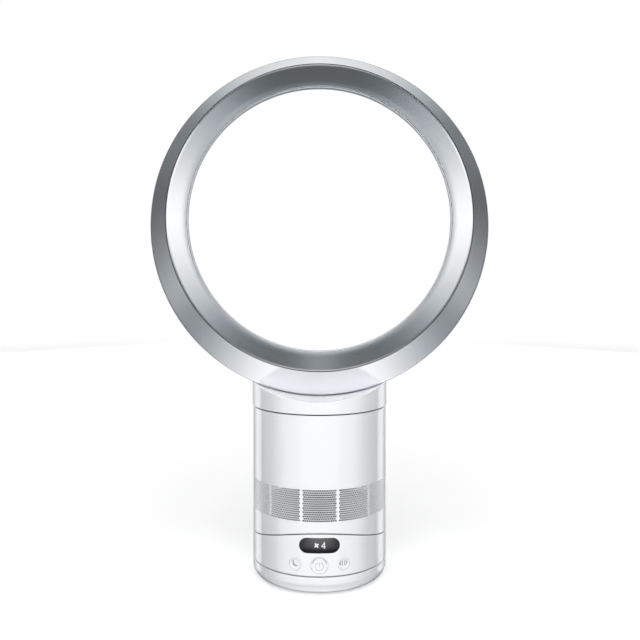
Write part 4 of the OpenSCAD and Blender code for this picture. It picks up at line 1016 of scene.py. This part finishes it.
def shellLine(inset):
    # Distance back, radius and share of the drop, along the outer shell's wall
    sizes = loop
    atFront, atShoulder, atRear = sizes["close"]
    corner = Vector((sizes["shoulderY"] + inset / 2, sizes["cornerRadius"] - inset))
    front = Vector((sizes["frontY"] + inset * sizes["frontWall"] / sizes["wall"], sizes["rimRadius"]))
    rear = Vector((sizes["rearY"], sizes["rearRadius"] - inset))
    line = [(front.x, front.y, 0.0)]
    slope = front - corner
    reach = sizes["shoulderRound"]
    first = corner + slope.normalized() * reach
    second = corner + (rear - corner).normalized() * reach
    if not inset:
        early = front + (corner - front).normalized() * atFront
        line.append((early.x, early.y, atFront / slope.length))
        near = corner + slope.normalized() * (reach + atShoulder)
        line.append((near.x, near.y, 1 - (reach + atShoulder) / slope.length))
    for k in range(9):
        t = k / 8
        spot = first * (1 - t) ** 2 + corner * 2 * t * (1 - t) + second * t * t
        line.append((spot.x, spot.y, 1 - (1 - t) ** 2 * reach / slope.length))
    if not inset:
        after = corner + (rear - corner).normalized() * (reach + atRear)
        line.append((after.x, after.y, 1.0))
    steps = 24
    middle = (sizes["rearRadius"] + sizes["boreRadius"]) / 2
    half = (sizes["rearRadius"] - sizes["boreRadius"]) / 2 - inset
    for k in range(steps + 1):
        angle = math.radians(90 - 180 * k / steps)
        line.append((sizes["rearY"] + (sizes["rearDepth"] - inset) * math.cos(angle),
                     middle + half * math.sin(angle), (1 + math.sin(angle)) / 2))
    # The lip thins down to its edge, so that the duct runs on into it
    for share in (0.5, 1.0):
        line.append((sizes["rearY"] + (sizes["lipY"] - sizes["rearY"]) * share,
                     sizes["boreRadius"] + inset + min(0.0, sizes["lipWall"] - inset) * share, 0.0))
    return line


def makeShell():
    outside, inside = shellLine(0.0), shellLine(loop["wall"])
    lip = [(loop["lipY"] - loop["lipDeep"], loop["boreRadius"] + edge, 0.0)
           for edge in (loop["lipEdge"], loop["lipWall"] - loop["lipEdge"])]

    def fallen(y, share):
        rest = loop["sink"] if y < 0 else -loop["lipRise"]
        return share * loop["drop"] + (1 - share) * rest

    line = [(y, radius, fallen(y, share))
            for y, radius, share in outside + lip + inside[::-1] + outside[:1]]
    piece = loft("loopShell", line, loop["sides"], "Y", (0, 0, loop["boreZ"]))
    cut(piece, neckTool(*neck["shellCut"]))
    finishPiece(piece, finishes["loop_silver"], "loop", "loop_silver", "loop_shell")


def makeDuct():
    # A straight flare, bent inward to its neck at the air slit, then curled out into the loop
    sizes = duct
    lip, front, wall = sizes["lipRadius"], loop["frontY"], sizes["wall"]
    bend, neckAt, curl = sizes["bend"], sizes["neck"], sizes["curl"]
    slope = math.tan(math.radians(sizes["slope"]))
    reach = neckAt - bend

    def flare(y):
        over = max(0.0, y - bend)
        return lip - slope * (min(y, bend) - front + over - over * over / (2 * reach))

    rim = [*sizes["rim"], (sizes["rimDeep"], sizes["rimWide"] - sizes["rimEdge"]),
           (loop["frontWall"], sizes["rimWide"])]
    line = [(front + deep, lip + out) for deep, out in rim]
    places = [front + deep for deep in sizes["places"]] + [bend + reach * k / 10 for k in range(11)]
    centre = flare(neckAt) + curl
    inner = [(y, flare(y)) for y in places]
    outer = [(y, radius + wall) for y, radius in inner]
    for k in range(1, 7):
        angle = math.radians(sizes["curlAngle"] * k / 6)
        inner.append((neckAt + curl * math.sin(angle), centre - curl * math.cos(angle)))
        outer.append((neckAt + (curl - wall) * math.sin(angle),
                      centre - (curl - wall) * math.cos(angle)))
    last = math.radians(sizes["curlAngle"])
    for side in (inner, outer):
        y, radius = side[-1]
        side.append((y + sizes["flange"] * math.cos(last), radius + sizes["flange"] * math.sin(last)))
    line += outer + inner[::-1]
    line.append(line[0])
    fall = (loop["sink"] + loop["lipRise"]) / (neckAt - front)
    line = [(y, radius, max(-loop["lipRise"], loop["sink"] - fall * (y - front)))
            for y, radius in line]
    piece = loft("loopDuct", line, loop["sides"], "Y", (0, 0, loop["boreZ"]))
    finishPiece(piece, finishes["loop_silver"], "loop", "loop_silver", "loop_duct")


makeShell()
makeDuct()
